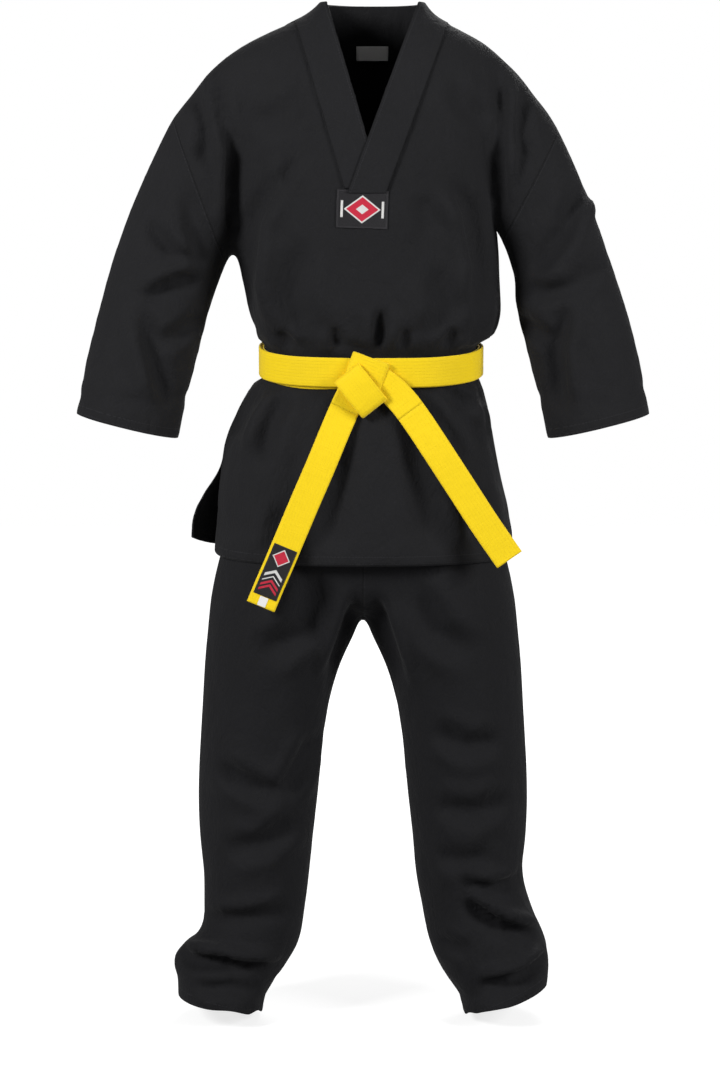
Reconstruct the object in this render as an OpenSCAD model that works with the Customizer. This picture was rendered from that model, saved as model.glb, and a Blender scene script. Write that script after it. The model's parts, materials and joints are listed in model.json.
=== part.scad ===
// Martial arts uniform as worn: V-neck jacket, drawstring trousers and a tied belt.
// +Z is up, the chest faces -Y and the wearer's left is +X. The origin is on the floor
// that the trouser hems touch, midway between the feet. Millimetres.

/* [Cloth] */
// Thickness of the jacket and trouser cloth with its seam folds
cloth = 2.4; // [1.8:0.1:2.8]
// Sides on every cloth tube
tube_sides = 28; // [24:4:36]

/* [Jacket] */
// Half the jacket's width at the chest
chest_half_w = 178; // [174:1:180]
// Half the jacket's depth at the chest
chest_half_d = 126; // [122:1:128]
// Half the jacket's width under the belt
waist_half_w = 145; // [143:1:146]
// Half the jacket's depth under the belt
waist_half_d = 102; // [100:1:103]
// Height of the jacket's hem
hem_z = 652; // [648:1:660]
// Height of the bottom of the V neck
vee_z = 1227; // [1220:1:1235]
// Height of the top of the collar
collar_z = 1404; // [1400:1:1408]
// Width of the collar band
band_w = 46; // [42:1:50]

/* [Belt] */
// Width of the belt
belt_w = 40; // [36:1:42]
// Thickness of the belt
belt_t = 4; // [3.5:0.1:4.4]
// Height of the belt's centre line at the sides
belt_z = 921; // [918:1:924]
// How far the belt plane dips towards the front, in degrees
belt_pitch = 6; // [5:0.5:7]

/* [Sleeves] */
// Half the sleeve's width
sleeve_half_w = 73; // [70:1:74]
// Half the sleeve's depth
sleeve_half_d = 65; // [62:1:67]
// Radius of the round joint at each elbow
elbow_r = 82; // [79:1:84]

/* [Trousers] */
// Half the trousers' width over the hips
hip_half_w = 185; // [182:1:187]
// Half the trousers' depth over the hips
hip_half_d = 114; // [112:1:115]
// Radius of the round joint at each knee
knee_r = 104; // [100:1:106]

/* [Hidden] */

far = 900;             // longer than any section, for the cutting blocks
seam = 0.4;            // gap along a sewn seam
gap = 3;               // room between bodies that move apart
facing_w = 26;         // width of a turned-up hem
facing_t = 1.2;        // thickness of a turned-up hem
facing_gap = 0.5;      // between a turned-up hem and its cloth
black = [0.09, 0.09, 0.1];
belt_yellow = [0.98, 0.83, 0.04];
cord_white = [0.9, 0.9, 0.88];

// Joint centres
shoulder = [185, 0, 1255];
shoulder_r = 75;       // radius of the shoulder cap about the shoulder joint
elbow = [282, -16, 998];
elbow_tilt = 17;       // slope of the sleeve at the elbow, from the vertical
hip_z = 690;
hip_r = 122;           // radius of the trouser seat about the hip joint
knee = [144, 0, 345];

// A section of a cloth tube is [x, y, z, half width, half depth, lean, pitch]. The lean turns
// it about Y, as a sleeve hangs, and the pitch dips its front.
torso = [
    [11, 2.8, belt_z - 27, waist_half_w - 1, waist_half_d - 1, 0, belt_pitch],
    [11, -2.5, belt_z + 24, waist_half_w, waist_half_d, 0, belt_pitch],
    [16, 0, 960, 163, 115, 0, 3],
    [15, 0, 984, 172, 122, 0, 0],
    [12, 0, 1012, chest_half_w, chest_half_d, 0, 0],
    [8, 0, 1060, chest_half_w, chest_half_d, 0, 0],
    [5, 0, 1150, chest_half_w, chest_half_d - 2, 0, 0],
    [3, 0, 1220, chest_half_w + 2, chest_half_d - 8, 0, 0],
    [2, 0, 1272, 190, 108, 0, 0],
    [2, 2, 1310, 193, 95, 0, 0],
    [3, 4, 1334, 184, 84, 0, 0],
    [4, 6, 1352, 163, 75, 0, 0],
    [6, 8, 1370, 128, 69, 0, 0],
    [9, 10, 1385, 92, 64, 0, 0]
];
neck_x = 13;           // the neck opening sits a little towards the wearer's left
collar = concat(
    [for (s = torso) if (s[2] > 1100) s],
    [[neck_x, 10, collar_z, 67, 60, 0, 0]]
);

// Neck band edges at the front, as [x, z]
vee = [6, vee_z];
neck_half = 61;        // half the V's width at the collar's top
band_end = 76;         // how far the left band runs on below the V

skirt = [
    [6, 0, belt_z - 36, 158, 107, 0, belt_pitch],
    [4, 0, 860, 171, 113, 0, 4],
    [0, 0, 821, 184, 125, 0, 2],
    [-2, 0, 780, 191, 130, 0, 0],
    [-2, 0, 730, 198, 135, 0, 0],
    [-1, 0, 690, 202, 138, 0, 0],
    [0, 0, hem_z, 205, 140, 0, 0]
];
vent_half = 8;         // half the open gap between the front and back skirts

arm = [
    [129, 4, 1298, 60, 60, 60, 0],
    [159, 0, 1266, 66, 62, 45, 0],
    [176, 0, 1241, 72, 64, 37, 0],
    [194, 0, 1215, 74, 66, 31, 0],
    [225, -2, 1153, sleeve_half_w + 1, 68, 26, 0],
    [252, -6, 1093, sleeve_half_w + 1, 68, 21, 0],
    [273, -12, 1030, sleeve_half_w, sleeve_half_d + 1, 18, 0],
    [291, -20, 967, sleeve_half_w, sleeve_half_d, 16, 0],
    [307, -30, 902, sleeve_half_w - 1, sleeve_half_d - 1, 14.5, 0],
    [321, -40, 830, sleeve_half_w - 2, sleeve_half_d - 2, 14, 0]
];

seat = [
    [10, 0, 905, 133, 89, 0, 0],
    [6, 0, 868, 142, 97, 0, 0],
    [2, 0, 828, 163, 106, 0, 0],
    [0, 0, 794, 173, 110, 0, 0],
    [0, 0, 761, 180, 113, 0, 0],
    [0, 0, 728, hip_half_w, hip_half_d, 0, 0],
    [0, 0, 690, hip_half_w + 4, hip_half_d + 1, 0, 0],
    [0, 0, 652, hip_half_w + 9, hip_half_d + 1, 0, 0],
    [0, 0, 560, hip_half_w + 22, hip_half_d - 2, 0, 0]
];

leg_hem_pitch = -8;    // the hem rides up over the instep
leg_hem_half_d = 84;
leg = [
    [91, 0, 650, 105, 110, 0, 0],
    [103, 0, 600, 106, 108, 0, 0],
    [110, 0, 556, 103, 106, 0, 0],
    [124, 0, 506, 95, 103, 0, 0],
    [134, 0, 457, 90, 98, 0, 0],
    [140, 0, 407, 87, 94, 0, 0],
    [143, 0, 357, 85, 91, 0, 0],
    [146, 0, 308, 82, 88, 0, 0],
    [148, 0, 258, 79, 86, 0, 0],
    [149, 0, 208, 74, 84, 0, 0],
    [153, 0, 159, 71, 82, 0, 0],
    [159, -2, 126, 75, 82, 0, 0],
    [179, -8, 92, 82, 82, 0, 0],
    [190, -14, 52, 71, 83, 0, -4],
    [196, -18, leg_hem_half_d * tan(-leg_hem_pitch), 65, leg_hem_half_d, 0, leg_hem_pitch]
];

// The trunk is a little squarer than an ellipse. Arms and legs, far from the middle, are round.
trunk_reach = 30;
function squarer(c) = sign(c) * pow(abs(c), 0.88);
function shaped(c, x) = abs(x) < trunk_reach ? squarer(c) : c;

// Points of one section, grown outwards by grow. The side seams fall halfway along a facet.
function ring(s, grow) = [
    for (k = [0 : tube_sides - 1])
        let (
            t = 360 * (k + 0.5) / tube_sides,
            u = (s[3] + grow) * shaped(cos(t), s[0]),
            v = (s[4] + grow) * shaped(sin(t), s[0])
        )
        [s[0] + u * cos(s[5]), s[1] + v, s[2] + u * sin(s[5]) + v * tan(s[6])]
];

// The same section moved d along its own normal
function slid(s, d) = [s[0] - d * sin(s[5]), s[1], s[2] + d * cos(s[5]), s[3], s[4], s[5], s[6]];

// A list of sections with both ends moved on by d, so that a hollow runs out through them
function longer(list, d) =
    let (n = len(list) - 1, up = list[0][2] > list[n][2] ? 1 : -1)
    [for (i = [0 : n]) i == 0 ? slid(list[i], up * d) : i == n ? slid(list[i], -up * d) : list[i]];

// Thin plate over one section, for a hull to stretch between
module plate(s, grow) {
    points = ring(s, grow);
    polyhedron(points, [for (k = [1 : tube_sides - 2]) [0, k, k + 1]]);
}

// Solid through a list of sections
module loft(list, grow = 0) {
    for (i = [0 : len(list) - 2]) hull() {
        plate(list[i], grow);
        plate(list[i + 1], grow);
    }
}

// Cloth tube through a list of sections
module tube(list) {
    difference() {
        loft(list);
        loft(longer(list, 2), -cloth);
    }
}

// Thin layer that starts lift outside the sections and is thick mm thick
module layer(list, lift, thick) {
    difference() {
        loft(list, lift + thick);
        loft(longer(list, 2), lift);
    }
}

module front_half(edge = seam / 2) {
    intersection() {
        children();
        translate([-far, -far - edge, -far]) cube([2 * far, far, 3 * far]);
    }
}

module back_half(edge = seam / 2) {
    intersection() {
        children();
        translate([-far, edge, -far]) cube([2 * far, far, 3 * far]);
    }
}

module between(low, high) {
    intersection() {
        children();
        translate([-far, -far, low]) cube([2 * far, 2 * far, high - low]);
    }
}

// Prism through the front of the jacket, from an outline in X and Z
module front_prism(outline) {
    rotate([90, 0, 0]) linear_extrude(height = 300) polygon(outline);
}

// Bar across a joint, along X
module cross_bar(centre, r) {
    translate(centre) rotate([0, 90, 0]) cylinder(r = r, h = 2 * far, center = true, $fn = 96);
}

module mirrored(side) {
    if (side > 0) children();
    else mirror([1, 0, 0]) children();
}

// ---------------------------------------------------------------- jacket

// Space outside the shoulder cap, where the sleeve moves
module sleeve_space(clear) {
    difference() {
        translate([shoulder[0] + 3 + clear, -far, 600]) cube([far, 2 * far, far]);
        translate(shoulder) rotate([90, 0, 0])
            cylinder(r = shoulder_r + clear, h = far, center = true, $fn = 96);
    }
}

module body_solid(grow) {
    loft(grow < 0 ? longer(torso, 2) : torso, grow);
    for (side = [-1, 1]) mirrored(side) loft([for (i = [0 : 5]) arm[i]], grow);
}

module jacket_shell() {
    difference() {
        body_solid(0);
        body_solid(-cloth);
        for (side = [-1, 1]) mirrored(side) sleeve_space(0);
    }
}

vee_lap = 20;          // how far the band laps over the cut edge of the front panel
module jacket_front() {
    color(black) front_half() difference() {
        jacket_shell();
        front_prism([
            [vee[0], vee_z - 2.8 * vee_lap],
            [neck_x + neck_half + vee_lap + 6, collar_z + 20],
            [neck_x - neck_half - vee_lap - 6, collar_z + 20]
        ]);
    }
}

module jacket_back() {
    color(black) back_half() jacket_shell();
}

slope = neck_half / (collar_z - vee_z);
// Front half of the neck band on one side, run lets it continue below the V
module collar_band(side, run, lift) {
    foot = [vee[0] - side * run * slope * 0.75, vee_z - run];
    wide = band_w / cos(atan(slope));
    front_half() intersection() {
        layer(collar, lift, 1.6);
        front_prism([
            foot,
            foot + [side * wide, 0],
            [neck_x + side * (neck_half + wide), collar_z + 20],
            [neck_x + side * neck_half, collar_z + 20]
        ]);
    }
}

module collar_band_right() {
    color(black) collar_band(-1, 6, 0.3);
}

module collar_band_left() {
    color(black) collar_band(1, band_end, 2.2);
}

module collar_back() {
    color(black) back_half() between(collar_z - band_w, collar_z) layer(collar, 0.3, 1.6);
}

patch_w = 66;
patch_h = 50;
patch_z = 1122;
module chest_patch() {
    color(black) front_half() intersection() {
        layer(torso, 0.3, 1.4);
        translate([2, 0, patch_z]) rotate([0, -2, 0])
            cube([patch_w, 2 * far, patch_h], center = true);
    }
}

module neck_label() {
    color(cord_white) back_half() intersection() {
        layer(torso, -cloth - 1.1, 0.8);
        translate([neck_x, 0, 1340]) cube([46, 2 * far, 20], center = true);
    }
}

module front_skirt() {
    color(black) front_half(vent_half) tube(skirt);
}

module back_skirt() {
    color(black) back_half(vent_half) tube(skirt);
}

module skirt_facing() {
    between(hem_z + 0.5, hem_z + facing_w) layer(skirt, -cloth - facing_gap - facing_t, facing_t);
}

module front_hem_facing() {
    color(black) front_half(vent_half + 1) skirt_facing();
}

module back_hem_facing() {
    color(black) back_half(vent_half + 1) skirt_facing();
}

// ---------------------------------------------------------------- sleeves

// Space on the far side of a round joint: below its centre, and inside its radius
module beyond_joint(r) {
    translate([-far, -far, -2 * far]) cube(2 * far);
    rotate([0, 90, 0]) cylinder(r = r, h = 2 * far, center = true, $fn = 96);
}

module at_elbow() {
    translate(elbow) rotate([0, -elbow_tilt, 0]) children();
}

module sleeve_upper(side) {
    color(black) mirrored(side) intersection() {
        difference() {
            tube([for (i = [1 : 7]) arm[i]]);
            at_elbow() beyond_joint(elbow_r + gap);
        }
        sleeve_space(gap);
    }
}

module sleeve_lower(side) {
    color(black) mirrored(side) intersection() {
        tube([for (i = [4 : 9]) arm[i]]);
        at_elbow() beyond_joint(elbow_r);
    }
}

// Sections of the last part of a list, for the facing inside its open end
function last_part(list, length) =
    let (n = len(list) - 1, s = list[n], u = list[n - 1], f = length / norm([for (i = [0 : 2]) u[i] - s[i]]))
    [s * (1 - f) + u * f, s];

module cuff_facing(side) {
    end = last_part(arm, facing_w);
    color(black) mirrored(side) difference() {
        loft(end, -cloth - facing_gap);
        loft(longer(end, 2), -cloth - facing_gap - facing_t);
    }
}

// ---------------------------------------------------------------- belt

oval_points = 48;
function oval(half_w, half_d) = [
    for (k = [0 : oval_points - 1])
        let (t = 360 * k / oval_points)
        [half_w * squarer(cos(t)), half_d * squarer(sin(t))]
];

// One turn of the belt, with its inner face lift mm off the jacket
module belt_turn(lift) {
    translate([11, 0, belt_z]) rotate([belt_pitch, 0, 0])
        linear_extrude(height = belt_w, center = true) difference() {
            polygon(oval(waist_half_w + lift + belt_t, waist_half_d + lift + belt_t));
            polygon(oval(waist_half_w + lift, waist_half_d + lift));
        }
}

module belt_inner_turn() {
    color(belt_yellow) translate([0, 0, -1.5]) belt_turn(0.8);
}

module belt_outer_turn() {
    color(belt_yellow) belt_turn(1.4 + belt_t);
}

knot = [2, -121, 888];
knot_side = 50;
module belt_knot() {
    color(belt_yellow) translate(knot) rotate([0, -38, 0])
        rotate([90, 0, 0]) linear_extrude(height = 9, center = true)
            offset(r = 4, $fn = 32) square([knot_side - 8, knot_side - 12], center = true);
}

// Turn of belt that comes up behind both turns and over them into the knot
module belt_keeper_loop() {
    color(belt_yellow) translate([11, 0, belt_z]) rotate([belt_pitch, 0, 0]) intersection() {
        translate([8, -100, 0]) rotate([0, 12, 0]) cube([34, 80, belt_w + 12], center = true);
        difference() {
            linear_extrude(height = belt_w + 9, center = true)
                polygon(oval(waist_half_w + 14.4, waist_half_d + 12.8));
            linear_extrude(height = belt_w + 20, center = true)
                polygon(oval(waist_half_w + 10.2, waist_half_d + 10.2));
        }
    }
}

tail_t = 5;            // a tail is a hollow cover, folded over a core
tail_cover_t = 1.1;
// Puts a tail's local frame at its top: -Z runs down the tail, and -Y faces out
module at_tail(side) {
    top = side > 0 ? [50, -130, 872] : [-22, -130, 858];
    spread = side > 0 ? 32.5 : 23;
    translate(top) rotate([-3.5, 0, 0]) rotate([0, -side * spread, 0]) children();
}

function tail_len(side) = side > 0 ? 253 : 285;

module tail_block(side, shrink) {
    translate([0, 0, -tail_len(side) / 2])
        cube([belt_w - 2 * shrink, tail_t - 2 * shrink, tail_len(side) - 2 * shrink], center = true);
}

module tail_cover(side) {
    color(belt_yellow) at_tail(side) difference() {
        tail_block(side, 0);
        tail_block(side, tail_cover_t);
    }
}

module tail_core(side) {
    color(cord_white) at_tail(side) tail_block(side, tail_cover_t + 0.1);
}

label_w = 33;
label_h = 72;
tape_h = 14;
// Flat patch on the right tail's outer face, up from its tip
module on_right_tail(w, h, t, up) {
    at_tail(-1) translate([0, -tail_t / 2 - 0.1 - t / 2, up - tail_len(-1)]) cube([w, t, h], center = true);
}

module belt_label() {
    color(black) on_right_tail(label_w, label_h, 0.9, tape_h + label_h / 2);
}

module belt_rank_tape() {
    color(cord_white) on_right_tail(12, tape_h - 1, 0.7, tape_h / 2);
}

// ---------------------------------------------------------------- trousers

// Space above the hips, and inside the round joint between the seat and the legs
module seat_space(r) {
    translate([-far, -far, hip_z]) cube([2 * far, 2 * far, far]);
    cross_bar([0, 0, hip_z], r);
}

module both_legs(list, grow) {
    for (side = [-1, 1]) mirrored(side) loft(list, grow);
}

module seat_shell() {
    top_of_leg = [for (i = [0 : 3]) leg[i]];
    difference() {
        intersection() {
            union() {
                loft(seat);
                both_legs(top_of_leg, 0);
            }
            seat_space(hip_r);
        }
        intersection() {
            loft(longer(seat, 2), -cloth);
            seat_space(hip_r - cloth);
        }
        both_legs(top_of_leg, -cloth);
    }
}

// Diamond that the gusset fills, seen from below
module gusset_space(grow) {
    translate([0, 0, 500]) linear_extrude(height = 150)
        polygon([[-58 - grow, 0], [0, -92 - grow], [58 + grow, 0], [0, 92 + grow]]);
}

module trousers_front() {
    color(black) front_half() difference() {
        seat_shell();
        gusset_space(seam);
    }
}

module trousers_back() {
    color(black) back_half() difference() {
        seat_shell();
        gusset_space(seam);
    }
}

module crotch_gusset() {
    color(black) intersection() {
        seat_shell();
        gusset_space(0);
        translate([-40, -far, 0]) cube([80, 2 * far, far]);
    }
}

waist_x = 10;
waist_z = 926;
waist_h = 38;
waist_out = [132, 88]; // half width and half depth of the waistband
module waist_ring(inset, thick, h, z) {
    translate([waist_x, 0, z]) linear_extrude(height = h, center = true) difference() {
        polygon(oval(waist_out[0] - inset, waist_out[1] - inset));
        polygon(oval(waist_out[0] - inset - thick, waist_out[1] - inset - thick));
    }
}

eyelet_x = 24;         // each eyelet's distance from the centre of the waistband
eyelet_z = waist_z + 9;
eyelet_y = -waist_out[1] * pow(1 - pow(eyelet_x / waist_out[0], 2 / 0.88), 0.44);

module at_eyelets() {
    for (side = [-1, 1])
        translate([waist_x + side * eyelet_x, eyelet_y, eyelet_z]) rotate([90, 0, 0]) children();
}

module waistband() {
    color(black) difference() {
        waist_ring(0, 7, waist_h, waist_z);
        waist_ring(1.6, 3.8, waist_h - 4, waist_z);
        at_eyelets() cylinder(r = 3.2, h = 8, center = true, $fn = 48);
    }
}

module waist_elastic() {
    color(cord_white) waist_ring(2.2, 2.6, 20, waist_z - 6);
}

cord_r = 1.5;
cord_drop = 24;
module drawstring() {
    color(cord_white) waist_ring(2.2, 2 * cord_r, 2 * cord_r, eyelet_z);
}

module drawstring_ends() {
    color(cord_white) at_eyelets() {
        translate([0, 0, 1.5]) cylinder(r = cord_r, h = 4, center = true, $fn = 32);
        translate([0, 0, 3.5]) sphere(r = 2.1, $fn = 32);
        translate([0, 0, 3.5]) rotate([90, 0, 0]) cylinder(r = cord_r, h = cord_drop, $fn = 32);
        translate([0, -cord_drop, 3.5]) sphere(r = 2.2, $fn = 32);
    }
}

module drawstring_eyelets() {
    color(cord_white) at_eyelets() translate([0, 0, 0.9]) difference() {
        cylinder(r = 5.4, h = 0.8, center = true, $fn = 48);
        cylinder(r = 3.2, h = 2, center = true, $fn = 48);
    }
}

module thigh(side) {
    mirrored(side) difference() {
        tube([for (i = [0 : 6]) leg[i]]);
        cross_bar([0, 0, hip_z], hip_r + gap);
        translate(knee) beyond_joint(knee_r + gap);
    }
}

module shin(side) {
    mirrored(side) intersection() {
        tube([for (i = [4 : len(leg) - 1]) leg[i]]);
        translate(knee) beyond_joint(knee_r);
    }
}

module leg_facing(side) {
    end = last_part(leg, facing_w);
    color(black) mirrored(side) difference() {
        loft(end, -cloth - facing_gap);
        loft(longer(end, 2), -cloth - facing_gap - facing_t);
    }
}

jacket_front();
jacket_back();
collar_band_right();
collar_band_left();
collar_back();
chest_patch();
neck_label();
front_skirt();  // jacket_front_skirt
back_skirt();  // jacket_back_skirt
front_hem_facing();
back_hem_facing();
sleeve_upper(1);  // left_sleeve_upper
sleeve_lower(1);  // left_sleeve_lower
cuff_facing(1);  // left_cuff_facing
sleeve_upper(-1);  // right_sleeve_upper
sleeve_lower(-1);  // right_sleeve_lower
cuff_facing(-1);  // right_cuff_facing
belt_inner_turn();
belt_outer_turn();
belt_knot();
belt_keeper_loop();
tail_cover(1);  // left_tail_cover
tail_core(1);  // left_tail_core
tail_cover(-1);  // right_tail_cover
tail_core(-1);  // right_tail_core
belt_label();
belt_rank_tape();
trousers_front();
trousers_back();
crotch_gusset();
waistband();
waist_elastic();
drawstring();
drawstring_ends();
drawstring_eyelets();
color(black) front_half() thigh(1);  // left_thigh_front
color(black) back_half() thigh(1);  // left_thigh_back
color(black) front_half() shin(1);  // left_shin_front
color(black) back_half() shin(1);  // left_shin_back
leg_facing(1);  // left_leg_facing
color(black) front_half() thigh(-1);  // right_thigh_front
color(black) back_half() thigh(-1);  // right_thigh_back
color(black) front_half() shin(-1);  // right_shin_front
color(black) back_half() shin(-1);  // right_shin_back
leg_facing(-1);  // right_leg_facing
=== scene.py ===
"""Martial arts uniform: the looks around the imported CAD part. Metres, chest towards -Y."""
import json
import math

import bmesh
import bpy
import numpy as np
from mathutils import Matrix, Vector

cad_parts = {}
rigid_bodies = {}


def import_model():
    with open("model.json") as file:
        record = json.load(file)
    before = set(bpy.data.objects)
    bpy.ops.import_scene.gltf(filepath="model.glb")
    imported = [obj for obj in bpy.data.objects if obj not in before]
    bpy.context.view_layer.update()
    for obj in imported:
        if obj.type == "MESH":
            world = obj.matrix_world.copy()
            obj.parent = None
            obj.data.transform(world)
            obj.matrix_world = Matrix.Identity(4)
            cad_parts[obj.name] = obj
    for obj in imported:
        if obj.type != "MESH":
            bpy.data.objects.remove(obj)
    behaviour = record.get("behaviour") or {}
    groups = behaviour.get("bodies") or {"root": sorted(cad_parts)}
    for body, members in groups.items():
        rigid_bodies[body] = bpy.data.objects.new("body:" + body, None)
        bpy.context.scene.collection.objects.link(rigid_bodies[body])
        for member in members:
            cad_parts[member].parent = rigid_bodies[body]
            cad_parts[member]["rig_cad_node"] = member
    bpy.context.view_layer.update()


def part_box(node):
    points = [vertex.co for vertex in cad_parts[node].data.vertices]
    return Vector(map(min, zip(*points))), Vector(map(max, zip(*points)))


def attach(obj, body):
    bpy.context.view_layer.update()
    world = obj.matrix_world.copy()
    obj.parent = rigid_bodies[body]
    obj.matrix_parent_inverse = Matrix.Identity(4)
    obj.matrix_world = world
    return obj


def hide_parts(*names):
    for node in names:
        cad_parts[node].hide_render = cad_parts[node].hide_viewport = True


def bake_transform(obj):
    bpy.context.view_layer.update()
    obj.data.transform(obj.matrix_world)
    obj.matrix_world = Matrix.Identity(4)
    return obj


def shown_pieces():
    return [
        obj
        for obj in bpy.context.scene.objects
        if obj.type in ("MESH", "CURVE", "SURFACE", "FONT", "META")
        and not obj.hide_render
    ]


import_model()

MM = 0.001
RING = 96                    # points round each loft before it is fused
VOXEL = 0.0066
CLOTH_T = 0.0013
HEM_T = 0.0012               # extra thickness where a hem is turned up
FRAMES = 20                  # how long the cloth settles
HOLD_STEPS = 20
SMOOTHING = 5                # rounds that even out ripples the size of a voxel
SHRINK, STIFFNESS, BENDING = -0.006, 14, 4
TRUNK_HALF = 0.205           # the sleeves hang outside this, below the chest
CLOTH = "_cloth"             # ends the name of every piece made here, to tell it from its CAD node

hem_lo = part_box("jacket_front_skirt")[0].z
collar_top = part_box("collar_back")[1].z


# ---------------------------------------------------------------- mesh helpers

def new_object(name, verts, faces, smooth=True):
    mesh = bpy.data.meshes.new(name)
    mesh.from_pydata([tuple(v) for v in verts], [], faces)
    mesh.update()
    if smooth:
        mesh.polygons.foreach_set("use_smooth", [True] * len(mesh.polygons))
    ob = bpy.data.objects.new(name, mesh)
    bpy.context.scene.collection.objects.link(ob)
    return ob


def remove(ob):
    bpy.data.objects.remove(ob, do_unlink=True)


def read(items, name, width=3, kind=float):
    """One attribute of every mesh element, a row each."""
    out = np.zeros(len(items) * width, kind)
    items.foreach_get(name, out)
    return out.reshape(-1, width)


def coords(mesh):
    return read(mesh.vertices, "co")


def set_coords(mesh, co):
    mesh.vertices.foreach_set("co", np.asarray(co, float).ravel())
    mesh.update()


def normals(mesh):
    return read(mesh.vertices, "normal")


def loop_vertices(mesh):
    return read(mesh.loops, "vertex_index", 1, int)[:, 0]


def set_uv(ob, uv):
    """UVs from one (u, v) row for each vertex."""
    layer = ob.data.uv_layers.new(name="cloth")
    layer.data.foreach_set("uv", uv[loop_vertices(ob.data)].astype(np.float32).ravel())


def relax(ob, rounds, amount=0.5):
    """Laplacian smoothing. A point on an open edge only moves along that edge."""
    mesh = ob.data
    edges, co = read(mesh.edges, "vertices", 2, int), coords(mesh)
    used = read(mesh.loops, "edge_index", 1, int)[:, 0]
    rim = np.bincount(used, minlength=len(edges)) == 1
    on_rim = np.zeros(len(co), bool)
    on_rim[edges[rim].ravel()] = True
    a, b = edges[:, 0], edges[:, 1]
    from_a, from_b = rim | ~on_rim[a], rim | ~on_rim[b]
    start = np.concatenate([a[from_a], b[from_b]])
    end = np.concatenate([b[from_a], a[from_b]])
    degree = np.bincount(start, minlength=len(co))[:, None]
    for _ in range(rounds):
        total = np.stack([np.bincount(start, co[end, k], len(co)) for k in range(3)], 1)
        co = np.where(degree > 0, co + amount * (total / degree.clip(1) - co), co)
    set_coords(mesh, co)


def smooth(x, low, high):
    """0 below low, 1 above high, easing between."""
    t = np.clip((x - low) / (high - low), 0, 1)
    return t * t * (3 - 2 * t)


def hump(x, centre, width):
    return np.exp(-((x - centre) / width) ** 2)


def spline(rows, step):
    """Catmull-Rom through the rows, about one new row every step metres."""
    rows = np.array(rows, float)
    out = []
    for i in range(len(rows) - 1):
        a, b, c, d = rows[max(i - 1, 0)], rows[i], rows[i + 1], rows[min(i + 2, len(rows) - 1)]
        count = max(1, int(np.linalg.norm((c - b)[:3]) / step))
        for k in range(count):
            t = k / count
            out.append(0.5 * (2 * b + (c - a) * t + (2 * a - 5 * b + 4 * c - d) * t ** 2
                              + (3 * b - a - 3 * c + d) * t ** 3))
    out.append(rows[-1])
    return np.array(out)


def loft(sections, grow=0.0, power=2.2, step=0.012):
    """Closed tube through sections, as listed under shapes."""
    rows = np.array([row + [0] * (7 - len(row)) for row in sections], float)
    rows[:, :5] *= MM
    rows = spline(rows, step)
    t = np.arange(RING) * 2 * math.pi / RING
    cu = np.sign(np.cos(t)) * np.abs(np.cos(t)) ** (2 / power)
    sv = np.sign(np.sin(t)) * np.abs(np.sin(t)) ** (2 / power)
    verts, faces = [], []
    for x, y, z, hw, hd, lean, pitch in rows:
        u, v = (hw + grow) * cu, (hd + grow) * sv
        ln, pt = math.radians(lean), math.radians(pitch)
        verts.append(np.stack([x + u * math.cos(ln), y + v, z + u * math.sin(ln) + v * math.tan(pt)], 1))
    count = len(rows)
    for i in range(count - 1):
        for k in range(RING):
            a, b = i * RING + k, i * RING + (k + 1) % RING
            faces.append((a, b, b + RING, a + RING))
    faces.append(tuple(reversed(range(RING))))
    faces.append(tuple(range((count - 1) * RING, count * RING)))
    verts = np.concatenate(verts)
    if rows[0][2] > rows[-1][2]:
        faces = [tuple(reversed(f)) for f in faces]
    return verts, faces


def flipped(sections):
    """The same sections on the other side of the body."""
    return [[-s[0], *s[1:5], *(-v for v in s[5:6]), *s[6:]] for s in sections]


def fused(name, solids, voxel):
    """One closed skin round overlapping solids."""
    verts, faces, base = [], [], 0
    for v, f in solids:
        verts.append(v)
        faces += [tuple(i + base for i in face) for face in f]
        base += len(v)
    raw = new_object(name + "_raw", np.concatenate(verts), faces)
    m = raw.modifiers.new("fuse", "REMESH")
    m.mode = "VOXEL"
    m.voxel_size = voxel
    m.use_smooth_shade = True
    dg = bpy.context.evaluated_depsgraph_get()
    mesh = bpy.data.meshes.new_from_object(raw.evaluated_get(dg))
    remove(raw)
    ob = bpy.data.objects.new(name, mesh)
    bpy.context.scene.collection.objects.link(ob)
    return ob


def cut(ob, planes, clear=True):
    """Cuts the mesh along each plane (point, normal, test for the faces it may cut).

    With clear, what lies on the far side of the plane is taken away."""
    bm = bmesh.new()
    bm.from_mesh(ob.data)
    for point, normal, test in planes:
        faces = [f for f in bm.faces if test(f.calc_center_median())]
        geom = dict.fromkeys(faces)       # a dict keeps its order, so each run cuts the same way
        for f in faces:
            geom.update(dict.fromkeys(f.edges))
            geom.update(dict.fromkeys(f.verts))
        bmesh.ops.bisect_plane(bm, geom=list(geom), plane_co=point, plane_no=normal, clear_outer=clear,
                               dist=0.0001 if clear else 0.0006)
    if clear:
        bmesh.ops.remove_doubles(bm, verts=[v for v in bm.verts if v.is_boundary], dist=0.0025)
        bmesh.ops.dissolve_degenerate(bm, edges=bm.edges, dist=0.0008)
    bmesh.ops.triangulate(bm, faces=[f for f in bm.faces if len(f.verts) > 4])
    bm.to_mesh(ob.data)
    bm.free()
    ob.data.update()


class Skin:
    """A finished garment surface, from which the pieces are taken."""

    def __init__(self, ob):
        mesh = ob.data
        self.co = coords(mesh)
        self.n = normals(mesh)
        self.faces = [tuple(p.vertices) for p in mesh.polygons]
        self.centre = read(mesh.polygons, "center")
        self.facing = read(mesh.polygons, "normal")
        used = {}
        for f in self.faces:
            for a, b in zip(f, f[1:] + f[:1]):
                key = (min(a, b), max(a, b))
                used[key] = used.get(key, 0) + 1
        self.open_edges = {k for k, c in used.items() if c == 1}


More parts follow.
